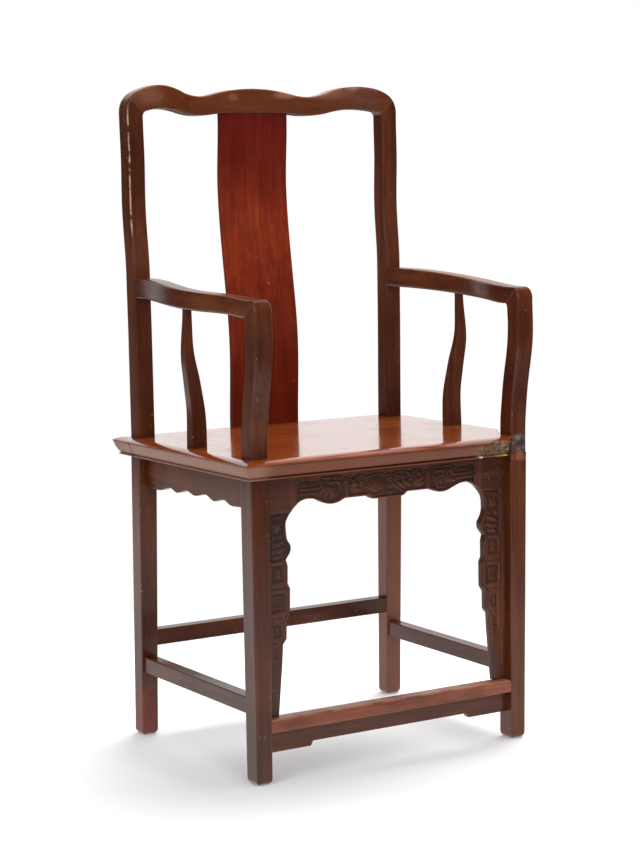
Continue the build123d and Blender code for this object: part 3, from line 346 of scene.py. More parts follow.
def arris(place, direction):
    """1 on the thin rounded edge that faces a direction."""
    return round_normal(place, RUBBED_EDGE).dot(direction).smooth(0.955, 0.992)


def seam(place, axis, at, half=JOINT_LINE):
    """1 on a thin line across the piece, half its width in millimetres about a place."""
    line = (place.axis(axis) - at).math("ABSOLUTE")
    return 1 - line.smooth(half * MM, (half + JOINT_LINE) * MM)


def wood(
    name,
    along,
    tones,
    worn,
    gloss=0.26,
    coat=0.2,
    extra=None,
    offset=0.0,
    rubbed=0.8,
    shine=0.32,
):
    """Polished hardwood: streaks along the grain, pores, clouded colour, worn edges.

    gloss is the roughness under the polish, the coat is a number or a mask made from the
    place, offset shifts the pattern from other woods, rubbed is the edges' share of wear, and
    extra(place, colour, rough, height) adds the marks of one piece.
    """
    material, place, shader = new_material(name)
    dark, middle, light = tones
    shifted = place.moved(place=(offset, offset * 0.7, offset * 1.3))
    grain_place = shifted.moved(scale=LONG[along])
    cloud = shifted.noise(CLOUDS, detail=3)
    streak = grain_place.noise(STREAKS, detail=5, rough=0.62, warp=0.7)
    fine = grain_place.noise(FINE_GRAIN, detail=3, rough=0.6)
    pore = grain_place.noise(PORES, detail=2).smooth(0.56, 0.72)
    shade = streak * 0.42 + cloud * 0.46 + fine * 0.14 - 0.01
    colour = shade.ramp((0.30, dark), (0.50, middle), (0.70, light))
    colour = colour.tint(pore * 0.35, (0.25, 0.2, 0.17, 1))
    patch = shifted.noise(PATCHES, detail=4, rough=0.6).smooth(0.52, 0.72)
    colour = colour.tint(patch * 0.35, srgb(160, 130, 118))
    edges = edge_mask(place).smooth(0.03, 0.35)
    broken = shifted.noise(WORN_GAPS, detail=5, rough=0.7).smooth(0.42, 0.60)
    colour = colour.cover(edges * broken * rubbed, worn)
    speck = shifted.noise(SPECKS, detail=1).smooth(0.79, 0.80)
    colour = colour.cover(speck * 0.7, srgb(196, 182, 168))
    rough = (cloud - 0.5) * 0.22 + fine * 0.08 + pore * 0.12 + patch * 0.1 + speck * 0.3 + gloss
    height = fine * 0.25 + streak * 0.4 - pore * 0.8
    if extra:
        colour, rough, height = extra(place, colour, rough, height)
    normal = height.node(
        "ShaderNodeBump",
        Height=height,
        Strength=0.22,
        Distance=0.25 * MM,
        Normal=round_normal(place, context_sizes().edge_round),
    )
    feed(
        shader,
        Base_Color=colour,
        Roughness=rough,
        Normal=normal,
        Coat_Weight=coat(place) if callable(coat) else coat,
        Coat_Roughness=0.09,
        Specular_IOR_Level=shine,
    )
    return material


# ------------------------------------------------------------------ meshes
FOOT_ROUND = 9.0 * MM
FOOT_WEAR = 0.75  # how far the end is drawn in, as a share of the rounding
FOOT_CUTS = [share * FOOT_ROUND for share in (0.06, 0.2, 0.4, 0.65, 1.0)]
DOUBLE_GAP = 0.004 * MM  # corners closer than this are one
FLAT_ANGLE = math.radians(0.4)  # faces that meet flatter than this become one
WIDE_FACE_LEAD = 80


def merged_copy(node):
    """A CAD node's mesh as one clean surface in a bmesh."""
    mesh = bmesh.new()
    mesh.from_mesh(frame["nodes"][node].data)
    bmesh.ops.remove_doubles(mesh, verts=mesh.verts, dist=DOUBLE_GAP)
    bmesh.ops.dissolve_limit(mesh, angle_limit=FLAT_ANGLE, verts=mesh.verts, edges=mesh.edges)
    return mesh


def slot_of(node):
    """The material slot that the part's record gives to a node."""
    for row in frame["record"]["subparts"]:
        if row["node"] == node:
            return row["material_slot"]
    raise ValueError(f"{node} has no slot")


def finish_piece(mesh, node, finish, material, sharp=28.0):
    """The bmesh as a shaded piece in a node's place; edges sharper than sharp stay crisp."""
    name = f"{node}_{finish}"
    for face in mesh.faces:
        face.smooth = True
    for edge in mesh.edges:
        if len(edge.link_faces) == 2:
            edge.smooth = edge.calc_face_angle(0) < math.radians(sharp)
    data = bpy.data.meshes.new(name)
    mesh.to_mesh(data)
    mesh.free()
    data.materials.append(material)
    piece = bpy.data.objects.new(name, data)
    bpy.context.scene.collection.objects.link(piece)
    # Wide faces lead the shading, so that long flat sides look flat
    weighted = piece.modifiers.new("Weighted normals", "WEIGHTED_NORMAL")
    weighted.keep_sharp = True
    weighted.weight = WIDE_FACE_LEAD
    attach(piece, "root")
    slot_of(node)
    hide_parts(node)


def wear_foot(mesh):
    """Rounds the end of a foot that stands on the floor."""
    for height in FOOT_CUTS:
        bmesh.ops.bisect_plane(
            mesh,
            geom=mesh.verts[:] + mesh.edges[:] + mesh.faces[:],
            plane_co=(0, 0, height),
            plane_no=(0, 0, 1),
        )
    low = [v for v in mesh.verts if v.co.z < FOOT_ROUND]
    middle_x = (min(v.co.x for v in low) + max(v.co.x for v in low)) / 2
    middle_y = (min(v.co.y for v in low) + max(v.co.y for v in low)) / 2
    half = max(v.co.x for v in low) - middle_x
    for vertex in low:
        rise = FOOT_ROUND - max(vertex.co.z, 0.0)
        inset = FOOT_ROUND - math.sqrt(max(FOOT_ROUND**2 - rise**2, 0.0))
        share = 1 - inset * FOOT_WEAR / half
        vertex.co.x = middle_x + (vertex.co.x - middle_x) * share
        vertex.co.y = middle_y + (vertex.co.y - middle_y) * share


def polish(node, material, foot=False):
    """A node with its own shape kept and smoothly shaded, and its foot worn where it has one."""
    mesh = merged_copy(node)
    if foot:
        wear_foot(mesh)
    finish_piece(mesh, node, "polished", material)


# ------------------------------------------------------------------ carving
FACE_GAP = 0.03 * MM  # a corner this near the board's face lies on it
CUT_GAP = 0.01 * MM  # a cut this near a corner goes through it
DEEPEST = 1.7  # the deepest hollow, in depths of the ground


class Relief:
    """Heights over a board's face, in millimetres: 0 is the face itself, below 0 is cut away.

    Places are (across, drop): millimetres from the middle, and down from the seat's underside.
    """

    def __init__(self, across, drop, ground):
        self.across = across
        self.drop = drop
        self.ground = ground
        self.height = np.zeros(across.shape)

    def sink(self, field, soft=1.2):
        """Lowers the ground where the field, a distance inside the carving's border, is above 0."""
        self.height = -self.ground * np.clip(field / soft, 0, 1)

    def far(self, points):
        """Distance to a line of points, and the place along it from 0 to 1."""
        best = np.full(self.across.shape, 1e9)
        along = np.zeros(self.across.shape)
        count = len(points) - 1
        for index, ((x0, d0), (x1, d1)) in enumerate(zip(points, points[1:])):
            dx, dd = x1 - x0, d1 - d0
            share = ((self.across - x0) * dx + (self.drop - d0) * dd) / (dx * dx + dd * dd)
            share = np.clip(share, 0, 1)
            gap = np.hypot(self.across - x0 - share * dx, self.drop - d0 - share * dd)
            along = np.where(gap < best, (index + share) / count, along)
            best = np.minimum(best, gap)
        return best, along

    def raise_to(self, level, inside):
        """Lifts the face to a level, where the mask is above 0."""
        lifted = level * inside + self.height * (1 - inside)
        self.height = np.where(inside > 0, np.maximum(self.height, lifted), self.height)

    def ridge(self, points, width=3.0, top=0.0, taper=False):
        """A rounded raised line, thinner towards its ends when tapered."""
        gap, along = self.far(curve(points))
        half = width / 2 * (0.35 + 0.65 * np.sin(math.pi * along) if taper else 1.0)
        round_top = np.sqrt(np.clip(1 - (gap / half) ** 2, 0, 1))
        self.raise_to(top, round_top)

    def hollow(self, points, width=1.6, depth=1.2):
        """A round-bottomed groove along a line."""
        gap, _ = self.far(curve(points))
        self.height -= depth * np.clip(1 - (gap / (width / 2)) ** 2, 0, 1)

    def petal(self, base, tip, width):
        """A leaf with a hollow vein down its middle."""
        gap, along = self.far([base, tip])
        half = width / 2 * np.sin(math.pi * np.clip(along, 0.02, 0.98) ** 0.75) + 0.15
        inside = np.clip(1 - (gap / half) ** 2, 0, 1) ** 0.5
        self.raise_to(0.0, inside)
        self.height -= 0.9 * np.clip(1 - gap / 0.8, 0, 1) * (along > 0.05) * (along < 0.85)

    def dome(self, centre, radius):
        """A round boss."""
        gap = np.hypot(self.across - centre[0], self.drop - centre[1])
        self.raise_to(0.0, np.sqrt(np.clip(1 - (gap / radius) ** 2, 0, 1)))

    def scroll(self, centre, radius, turn, start, width=2.6):
        """A curl that winds inwards; turn is 1 or -1, and start is the angle it begins at."""
        points = []
        for step in range(15):
            angle = start + turn * step * 0.42
            size = radius * (1 - 0.055 * step)
            points.append((centre[0] + size * math.cos(angle), centre[1] + size * math.sin(angle)))
        self.ridge(points, width)
        self.dome(centre, radius * 0.22)

    def rectangle(self, sides, drops, soft=0.8):
        """1 inside a rectangle between two places across and two drops, softly edged."""
        left, right = sorted(sides)
        inside = np.minimum(
            np.minimum(self.across - left, right - self.across),
            np.minimum(self.drop - drops[0], drops[1] - self.drop),
        )
        return np.clip(inside / soft, 0, 1)

    def recess(self, sides, drops, depth):
        """A sunken rectangle."""
        self.height -= depth * self.rectangle(sides, drops)

    def pad(self, sides, drops, top):
        """A raised rectangle."""
        self.raise_to(top, self.rectangle(sides, drops))


def through(a, b, c, d, t):
    """A share t of the way from b to c, on a smooth line from a through b and c to d."""
    linear = 2 * b + (c - a) * t
    return 0.5 * (linear + (2 * a - 5 * b + 4 * c - d) * t**2 + (3 * b - a - 3 * c + d) * t**3)


def curve(points, steps=5):
    """More points on a smooth line through the given ones."""
    if len(points) < 3:
        return list(points)
    whole = [points[0], *points, points[-1]]
    line = []
    for corners in zip(whole, whole[1:], whole[2:], whole[3:]):
        for step in range(steps):
            line.append(tuple(through(*values, step / steps) for values in zip(*corners)))
    return [*line, points[-1]]


def face_y(z):
    """Where the leaning face of the front apron and spandrels lies along Y, at a height."""
    return APRON_FACE_Y + (UNDERSIDE - z) * APRON_LEAN


def carved_board(node, shape, material, low_z, high_z):
    """A board whose front face is cut into a fine grid and carved; shape(relief) does the work."""
    mesh = merged_copy(node)
    bmesh.ops.triangulate(mesh, faces=[f for f in mesh.faces if len(f.verts) > 4])

    def on_face(vertex):
        return abs(vertex.co.y - face_y(vertex.co.z)) < FACE_GAP

    front = [f for f in mesh.faces if all(on_face(v) for v in f.verts)]
    verts = dict.fromkeys(v for f in front for v in f.verts)
    edges = dict.fromkeys(e for f in front for e in f.edges)
    geom = [*verts, *edges, *front]
    spots = [v.co for v in verts]
    step = context_sizes().carving_step
    cuts = []
    for axis, low, high in (
        (0, min(c.x for c in spots), max(c.x for c in spots)),
        (2, low_z, high_z),
    ):
        count = int((high - low) / step)
        normal = Vector([float(index == axis) for index in range(3)])
        for index in range(1, count + 1):
            cuts.append((normal * (low + (high - low) * index / (count + 1)), normal))
    for point, normal in cuts:
        made = bmesh.ops.bisect_plane(
            mesh, geom=geom, dist=CUT_GAP, plane_co=point, plane_no=normal
        )
        geom = made["geom"]
    front_verts = [v for v in mesh.verts if on_face(v)]
    across = np.array([v.co.x for v in front_verts]) / MM
    drop = (UNDERSIDE - np.array([v.co.z for v in front_verts])) / MM
    depth = context_sizes().carving_depth / MM
    relief = Relief(across, drop, depth)
    shape(relief)
    for vertex, height in zip(front_verts, np.clip(relief.height, -depth * DEEPEST, 0.0)):
        vertex.co.y -= float(height) * MM
    finish_piece(mesh, node, "carved", material, sharp=50.0)


# The wavy groove above the carving: distance from the middle, and drop. The groove itself is
# in the node's own shape.
BORDER = (
    (0.0, 12.5),
    (6.0, 15.5),
    (14.0, 11.5),
    (30.0, 12.0),
    (40.0, 15.0),
    (50.0, 10.5),
    (58.0, 11.0),
    (66.0, 16.0),
    (76.0, 14.5),
    (84.0, 10.0),
    (122.0, 9.5),
    (126.0, 15.5),
    (140.0, 16.0),
    (162.0, 14.0),
)
CARVED_HALF = 166.0  # the carved field ends here, on both sides
BORDER_MARGIN = 1.2  # plain strip under the groove
BEAD_WIDTH = 3.2
# The rounded bead along the apron's lower edge, from the middle outwards
LOWER_BEAD = (
    (0.0, 50.2),
    (25.0, 50.2),
    (31.0, 47.8),
    (37.0, 44.4),
    (60.0, 44.3),
    (80.0, 44.6),
    (90.0, 48.6),
    (101.6, 51.0),
    (114.0, 49.0),
    (125.0, 44.6),
    (137.0, 40.6),
    (149.6, 39.4),
    (160.0, 42.2),
    (171.0, 49.5),
)


def mirror_line(points):
    """The same line on the other side of the middle."""
    return [(-x, drop) for x, drop in points]


def carve_front_apron(relief):
    """Palmette, leaves and curls, lobes and angular frets between the border and the bead."""
    border_x, border_drop = zip(*BORDER)
    side = np.abs(relief.across)
    inside = np.minimum(
        relief.drop - np.interp(side, border_x, border_drop) - BORDER_MARGIN,
        CARVED_HALF - side,
    )
    relief.sink(inside)
    relief.ridge(LOWER_BEAD, BEAD_WIDTH)
    relief.ridge(mirror_line(LOWER_BEAD), BEAD_WIDTH)
    for way in (1, -1):
        # Angular fret towards the leg: a folded band and its return
        relief.ridge([(way * 164, 18.5), (way * 163.2, 25.2)], 2.6)
        relief.ridge([(way * 163.2, 25.2), (way * 127.0, 26.6)], 2.8)
        relief.ridge([(way * 127.0, 26.6), (way * 121.5, 22.5), (way * 121.5, 14.0)], 2.8)
        relief.ridge([(way * 158.0, 20.4), (way * 132.0, 20.6)], 2.0, -0.4)
        relief.ridge([(way * 166.0, 33.0), (way * 150.0, 32.4), (way * 130.0, 34.0)], 3.4, -0.2)
        # Plain upright band between the lobe and the leaves
        relief.pad((way * 72.0, way * 79.5), (17.0, 43.5), -0.5)
        groove = ((83.8, 17.0), (83.6, 28.0), (86.5, 36.0), (95.0, 44.0))
        relief.hollow([(way * across, drop) for across, drop in groove])
    # Left lobe: a hooked scroll, and a leaf that folds round the lobe
    relief.ridge([(-117.5, 12.5), (-107.5, 12.5)], 2.4)
    relief.ridge([(-107.5, 12.5), (-107.0, 19.5)], 2.4)
    relief.ridge([(-107.0, 19.5), (-92.0, 19.0), (-88.5, 26.0), (-90.0, 34.0), (-98.0, 41.0)], 3.2)
    relief.ridge([(-103.0, 13.6), (-88.0, 13.8)], 2.0, -0.3)
    relief.petal((-97.0, 27.0), (-106.0, 43.0), 9.0)
    relief.petal((-103.0, 25.5), (-118.0, 40.0), 8.0)
    relief.petal((-110.0, 24.5), (-127.0, 37.0), 7.0)
    # Left leaf beside the upright band
    relief.petal((-68.5, 33.0), (-47.5, 36.0), 8.5)
    relief.petal((-69.0, 27.0), (-53.0, 26.0), 6.5)
    relief.scroll((-62.5, 21.0), 4.2, 1, 0.5)
    relief.scroll((-49.0, 24.5), 3.6, -1, 2.0, 2.0)
    # Palmette on the left of the middle
    for tip, width in (
        ((-22.0, 17.5), 6.4),
        ((-30.0, 19.5), 5.6),
        ((-14.0, 19.5), 5.6),
        ((-36.5, 24.5), 5.4),
        ((-7.5, 24.5), 5.4),
        ((-40.5, 31.0), 5.0),
        ((-3.5, 31.0), 5.0),
    ):
        relief.petal((-22.0, 41.0), tip, width)
    relief.dome((-22.0, 39.5), 3.4)
    relief.ridge([(-38.0, 38.0), (-32.0, 43.8), (-22.0, 45.6), (-12.0, 43.8), (-6.0, 38.0)], 3.0)
    # Right of the middle: curls, crescents and stems
    relief.scroll((5.0, 21.5), 4.0, 1, 1.0, 2.2)
    relief.scroll((17.0, 20.5), 4.6, -1, 2.4, 2.4)
    relief.scroll((30.5, 21.5), 4.0, 1, 0.0, 2.2)
    relief.ridge([(40.0, 19.0), (45.5, 22.0), (43.0, 27.0), (38.5, 26.0)], 2.6, taper=True)
    relief.ridge([(7.0, 27.0), (13.0, 34.0), (21.0, 40.0), (29.0, 45.0)], 2.8, taper=True)
    relief.petal((18.0, 28.5), (32.5, 40.5), 7.0)
    relief.petal((27.5, 28.0), (44.5, 36.5), 7.0)
    relief.petal((10.0, 42.5), (-2.0, 45.5), 5.0)
    relief.scroll((6.5, 34.5), 3.4, 1, 3.0, 2.0)
    # Flame-shaped leaf before the right upright band
    relief.petal((48.5, 35.5), (70.5, 22.5), 7.5)
    relief.petal((50.5, 39.5), (71.0, 32.5), 7.0)
    relief.scroll((60.5, 20.5), 3.0, 1, 3.5, 2.0)
    # Right lobe: a U-shaped fold with a square scroll inside and short cuts beside it
    fold = [(91.0, 27.0), (90.8, 37.0), (95.0, 43.6), (102.0, 45.0), (108.5, 42.0), (109.0, 31.0)]
    relief.ridge(fold, 3.4)
    relief.ridge([(90.0, 19.0), (105.0, 18.6)], 2.6)
    relief.ridge([(105.0, 18.6), (104.8, 26.5)], 2.6)
    relief.ridge([(104.8, 26.5), (97.0, 26.5)], 2.6)
    relief.petal((99.5, 31.5), (100.5, 42.0), 6.0)
    for across in (112.5, 115.5, 118.5):
        relief.ridge([(across, 16.5), (across - 0.5, 29.0)], 1.7, -0.3)
    relief.petal((112.0, 33.0), (128.0, 37.0), 7.0)


# The spandrels' places are measured from the leg's inner face, inwards. The rounded bead
# follows the head's edge, and the steps are the corners of the three blocks below it.
SPANDREL_BEAD = (
    (45.0, 59.0),
    (37.6, 69.6),
    (36.2, 80.5),
    (38.0, 98.5),
    (43.2, 108.0),
    (44.4, 116.0),
    (41.0, 123.4),
    (35.2, 131.8),
    (37.6, 141.0),
    (37.2, 167.5),
)
SPANDREL_STEPS = (
    (37.2, 167.5),
    (41.2, 175.8),
    (40.7, 214.6),
    (34.7, 223.6),
    (34.2, 252.8),
    (27.7, 260.8),
    (26.2, 286.5),
)
CARVED_SPANDREL_END = 288.0  # below this drop the spandrel is plain
HEAD_TOP, HEAD_END = 58.5, 132.0  # drops between which the ground is sunk
LEG_MARGIN = 8.5  # plain strip beside the leg
STEP_MARGIN = 4.2  # from the steps' edge to the groove beside it


def carve_spandrel(relief, way):
    """A leafy head over three stepped blocks with sunk panels; way is 1 on the right."""
    leg_across = LEG_INNER_X / MM

    def at(inset, drop):
        return way * (leg_across - inset), drop

    def line(points):
        return [at(*point) for point in points]

    def sides(*insets):
        return [at(inset, 0.0)[0] for inset in insets]

    # The ground is sunk in the leafy head alone
    inset = leg_across - way * relief.across
    head = np.minimum(inset - LEG_MARGIN, HEAD_END - relief.drop)
    relief.sink(np.minimum(head, relief.drop - HEAD_TOP))
    relief.ridge(line(SPANDREL_BEAD), BEAD_WIDTH)
    for step in zip(SPANDREL_STEPS, SPANDREL_STEPS[1:]):
        beside = line([(step_inset - STEP_MARGIN, drop) for step_inset, drop in step])
        relief.hollow(beside, 1.7, 1.3)
    for end, drop in ((33.0, 136.0), (36.0, 172.5), (36.5, 218.5), (30.5, 256.5), (22.5, 287.0)):
        relief.hollow(line([(7.0, drop), (end, drop)]), 1.7, 1.3)
    relief.hollow(line([(6.0, 62.0), (5.6, 284.0)]), 1.8, 1.6)
    # Head: a flower between curling leaves
    flower = (21.5, 79.0)
    for index in range(6):
        angle = index * math.pi / 3 + 0.3
        tip = (flower[0] + 9.5 * math.cos(angle), flower[1] + 9.5 * math.sin(angle))
        relief.petal(at(*flower), at(*tip), 6.0)
    relief.dome(at(*flower), 2.6)
    relief.ridge(line([(40.0, 61.0), (29.0, 63.5), (17.0, 64.5), (11.0, 70.0)]), 2.8, taper=True)
    relief.scroll(at(30.5, 92.5), 4.2, way, 0.0, 2.2)
    relief.petal(at(12.0, 98.0), at(20.5, 92.0), 6.0)
    relief.petal(at(11.5, 110.0), at(36.5, 100.5), 8.0)
    relief.petal(at(12.5, 119.0), at(40.0, 112.0), 8.0)
    relief.petal(at(13.0, 127.5), at(35.5, 122.5), 6.5)
    # Three blocks with sunk panels, each over a small knot
    relief.recess(sides(12.0, 31.5), (137.0, 163.0), 1.8)
    relief.pad(sides(17.0, 26.5), (142.0, 158.0), 0.0)
    relief.recess(sides(11.0, 35.0), (180.0, 209.5), 2.0)
    relief.ridge(line([(16.0, 186.0), (29.5, 186.0)]), 2.4, -0.2)
    relief.ridge(line([(29.5, 186.0), (29.5, 203.5)]), 2.4, -0.2)
    relief.ridge(line([(29.5, 203.5), (16.0, 203.5)]), 2.4, -0.2)
    relief.recess(sides(14.0, 27.0), (229.0, 249.0), 2.0)
    relief.ridge(line([(20.5, 232.0), (20.5, 246.0)]), 3.0, -0.3)
    for knot in ((33.0, 171.5), (31.0, 219.0), (24.0, 257.0)):
        relief.dome(at(*knot), 2.8)
    relief.recess(sides(13.0, 21.5), (264.0, 282.0), 1.4)


# ------------------------------------------------------------------ finishes
def three_tones(piece):
    """The dark, middle and light tones of a piece's wood."""
    tones = context_colours()
    return [tones[f"{piece}_{depth}"] for depth in ("dark", "middle", "light")]


def frame_wood(along, name, offset=0.0, extra=None, **finish):
    """The dark wood of the frame, with its grain along an axis."""
    worn = context_colours()["frame_worn"]
    return wood(name, along, three_tones("frame"), worn, offset=offset, extra=extra, **finish)


def crest_marks(place, colour, rough, height):
    """The mitres at both ends, pale patches of painted softbox reflection and a warmer tone."""
    side = place.axis(0).math("ABSOLUTE")
    corner = (side + place.axis(2)) - (CREST_END - POST_WIDTH + CREST_TOP - CREST_HEIGHT)
    mitre = 1 - corner.math("ABSOLUTE").smooth(0.4 * MM, 1.0 * MM)
    colour = colour.cover(mitre * 0.8, srgb(30, 14, 9))
    # Painted softbox reflections as pale patches, in millimetres: across, from front to back, drop,
    # half width, half height; share
    for across, back, drop, wide, high, share in (
        (62, 210, 14, 20, 6, 0.42),
        (182, 190, 3, 9, 5, 0.38),
        (-40, 210, 18, 9, 6, 0.22),
        (-215, 180, 18, 30, 16, 0.20),
        (135, 200, 12, 40, 9, 0.22),
    ):
        centre = (across * MM, back * MM, CREST_TOP - drop * MM)
        # rubbed is here the share of the painted softbox reflection
        rubbed = place.spot(centre, (wide * MM, CREST_DEEP, high * MM), 0.6) * share
        colour = colour.cover(rubbed, srgb(164, 118, 98))
    return colour.cover(0.14, srgb(150, 78, 36)), rough, height - mitre * 2.0


def back_post_marks(place, colour, rough, height):
    """A pale rubbed line down the post's front arris, broken here and there."""
    reach = place.axis(2).band(SEAT_TOP + 335 * MM, CREST_LOW, 12 * MM)
    broken = place.noise(38, detail=4, rough=0.7).smooth(0.38, 0.50)
    line = arris(place, (-0.40, -0.92, 0.0)) * reach * broken
    return colour.cover(line * 0.75, srgb(206, 168, 140)), rough + line * 0.2, height


def back_leg_painted_light(place, colour, rough, height):
    """Painted light: the right back leg is a shade lighter below the seat, where more light falls
    on it.
    """
    low = 1 - place.axis(2).smooth(SEAT_TOP - 60 * MM, SEAT_TOP - 30 * MM)
    return colour.cover(low * 0.40, srgb(140, 82, 52)), rough, height


def front_leg_marks(place, colour, rough, height):
    """The bare patch that the missing end of the seat's front rail has left on the leg."""

    def scar(across, drop, wide, high, edge):
        """A mark on the leg's front, in millimetres from its inner face and the seat's top."""
        centre = (LEG_INNER_X + across * MM, SEAT_FRONT + 26 * MM, SEAT_TOP - drop * MM)
        return place.spot(centre, (wide * MM, 16 * MM, high * MM), edge)

    blotch = place.noise(110, detail=4, rough=0.7)
    bare = scar(18, 14, 26, 15, 0.12)
    grey = blotch.ramp(
        (0.36, srgb(58, 48, 48)),
        (0.52, srgb(98, 74, 72)),
        (0.68, srgb(134, 106, 98)),
    )
    colour = colour.cover(bare * blotch.smooth(0.25, 0.5) * 0.75, grey)
    blot = scar(21, 13, 8, 6, 0.5) * blotch.smooth(0.25, 0.42)
    colour = colour.cover(blot * 0.9, srgb(36, 38, 46))
    warm = scar(19, 35, 16, 6, 0.5) * blotch.smooth(0.38, 0.55)
    colour = colour.cover(warm * 0.6, srgb(146, 84, 52))
    return colour, rough + bare * 0.3, height + bare * blotch * 5.0


class PolishPosts(bpy.types.Operator):
    """Legs, posts, arms, crest and stretchers in dark polished wood"""

    bl_idname = "armchair.polish_posts"
    bl_label = "Polish Posts"

    def execute(self, context):
        upright = frame_wood("z", "dark_wood_upright")
        scuffed = frame_wood("z", "scuffed_back_post", 0.2, back_post_marks)
        # Wood with painted light on the right back leg below the seat
        lit_leg_wood = frame_wood("z", "paler_back_leg", 0.66, back_leg_painted_light)
        scarred = frame_wood("z", "scarred_front_leg", 0.44, front_leg_marks)
        crest = frame_wood("x", "crest_wood", 0.31, crest_marks)
        across = frame_wood("x", "dark_wood_across", 0.31)
        deep = frame_wood("y", "dark_wood_deep", 0.57)
        for node, finish, foot in (
            ("front_leg_left", upright, True),
            ("front_leg_right", scarred, True),
            ("back_leg_left", scuffed, False),
            ("back_leg_right", lit_leg_wood, True),
            ("side_post_left", upright, False),
            ("side_post_right", upright, False),
        ):
            polish(node, finish, foot)
        polish("crest_rail", crest)
        polish("rear_stretcher", across)
        for piece in ("arm_rail", "side_stretcher"):
            for side in ("left", "right"):
                polish(f"{piece}_{side}", deep)
        splice = wood(
            "foot_wood",
            "z",
            (srgb(60, 20, 13), srgb(96, 38, 26), srgb(126, 62, 44)),
            srgb(150, 90, 66),
            gloss=0.35,
            offset=0.9,
        )
        polish("back_left_foot_splice", splice, foot=True)
        return {"FINISHED"}


def splat_streaks(place, colour, rough, height):
    """Darker towards the crest and the seat, with straight hair-fine streaks."""
    hair = place.moved(scale=(1, 1, 0.012)).noise(420, detail=3, rough=0.65)
    colour = colour.tint(hair.smooth(0.40, 0.62) * 0.28, srgb(150, 90, 60))
    top = place.axis(2).smooth(SPLAT_MIDDLE, CREST_LOW)
    colour = colour.tint(top * 0.95, srgb(186, 100, 52))
    foot = 1 - place.axis(2).smooth(SEAT_TOP + 20 * MM, SPLAT_MIDDLE)
    colour = colour.tint(foot * 0.7, srgb(180, 150, 140))
    return colour, rough, height * 0.4


class PolishSplat(bpy.types.Operator):
    """The back splat in red-brown wood"""

    bl_idname = "armchair.polish_splat"
    bl_label = "Polish Splat"

    def execute(self, context):
        red = wood(
            "red_wood",
            "z",
            three_tones("splat"),
            srgb(160, 84, 40),
            gloss=0.32,
            coat=0.06,
            shine=0.18,
            offset=1.7,
            extra=splat_streaks,
        )
        polish("back_splat", red)
        return {"FINISHED"}


def polished_top(place):
    """The coat lies thick on the seat's top and is worn off its moulding."""
    return place.axis(2).smooth(SEAT_TOP - 7 * MM, SEAT_TOP - 3 * MM) * 0.75 + 0.05


def panel_joints(place):
    """1 along the joints between the panel and its frame, on the seat's top."""
    top = place.axis(2).smooth(SEAT_TOP - 0.6 * MM, SEAT_TOP - 0.2 * MM)
    side = place.vector("ABSOLUTE")
    within_x = 1 - side.axis(0).smooth(RAIL_INNER_X, RAIL_INNER_X + 1 * MM)
    within_y = place.axis(1).band(RAIL_INNER_FRONT, RAIL_INNER_REAR, 0.5 * MM)
    lines = seam(side, 0, RAIL_INNER_X) * within_y
    for at in (RAIL_INNER_FRONT, RAIL_INNER_REAR):
        lines = lines.math("MAXIMUM", seam(place, 1, at) * within_x)
    return lines * top


def edge_moulding(place):
    """1 on the seat's moulded edge, below its top."""
    return 1 - place.axis(2).smooth(SEAT_TOP - 8 * MM, SEAT_TOP - 4 * MM)


def moulding_tone(place, colour, moulding):
    """Duller and darker than the top, with painted shade in its grooves and the left side rubbed
    pale.
    """
    colour = colour.cover(moulding * 0.75, srgb(92, 52, 34))
    # Painted shade in the groove under the lip and in the groove over the lower bead
    lip = place.axis(2).band(SEAT_TOP - 8.6 * MM, SEAT_TOP - 7.0 * MM, 0.5 * MM)
    low = place.axis(2).band(SEAT_TOP - 27 * MM, SEAT_TOP - 24.4 * MM, 0.5 * MM)
    colour = colour.tint(lip.math("MAXIMUM", low) * 0.7, srgb(120, 80, 66))
    left = 1 - place.axis(0).smooth(-RAIL_INNER_X - 40 * MM, -RAIL_INNER_X - 10 * MM)
    colour = colour.cover(moulding * left * 0.4, srgb(156, 116, 98))
    sloping = 1 - place.axis(2).smooth(SEAT_TOP - 1.4 * MM, SEAT_TOP - 0.3 * MM)
    return colour.tint(sloping * (1 - moulding) * 0.6, srgb(186, 150, 130))


def butt_joint(place):
    """1 where the left side rail ends against the rear rail."""
    outside = 1 - place.axis(0).smooth(-RAIL_INNER_X, -RAIL_INNER_X + 1 * MM)
    return seam(place, 1, BUTT_JOINT_Y, 2.0) * outside


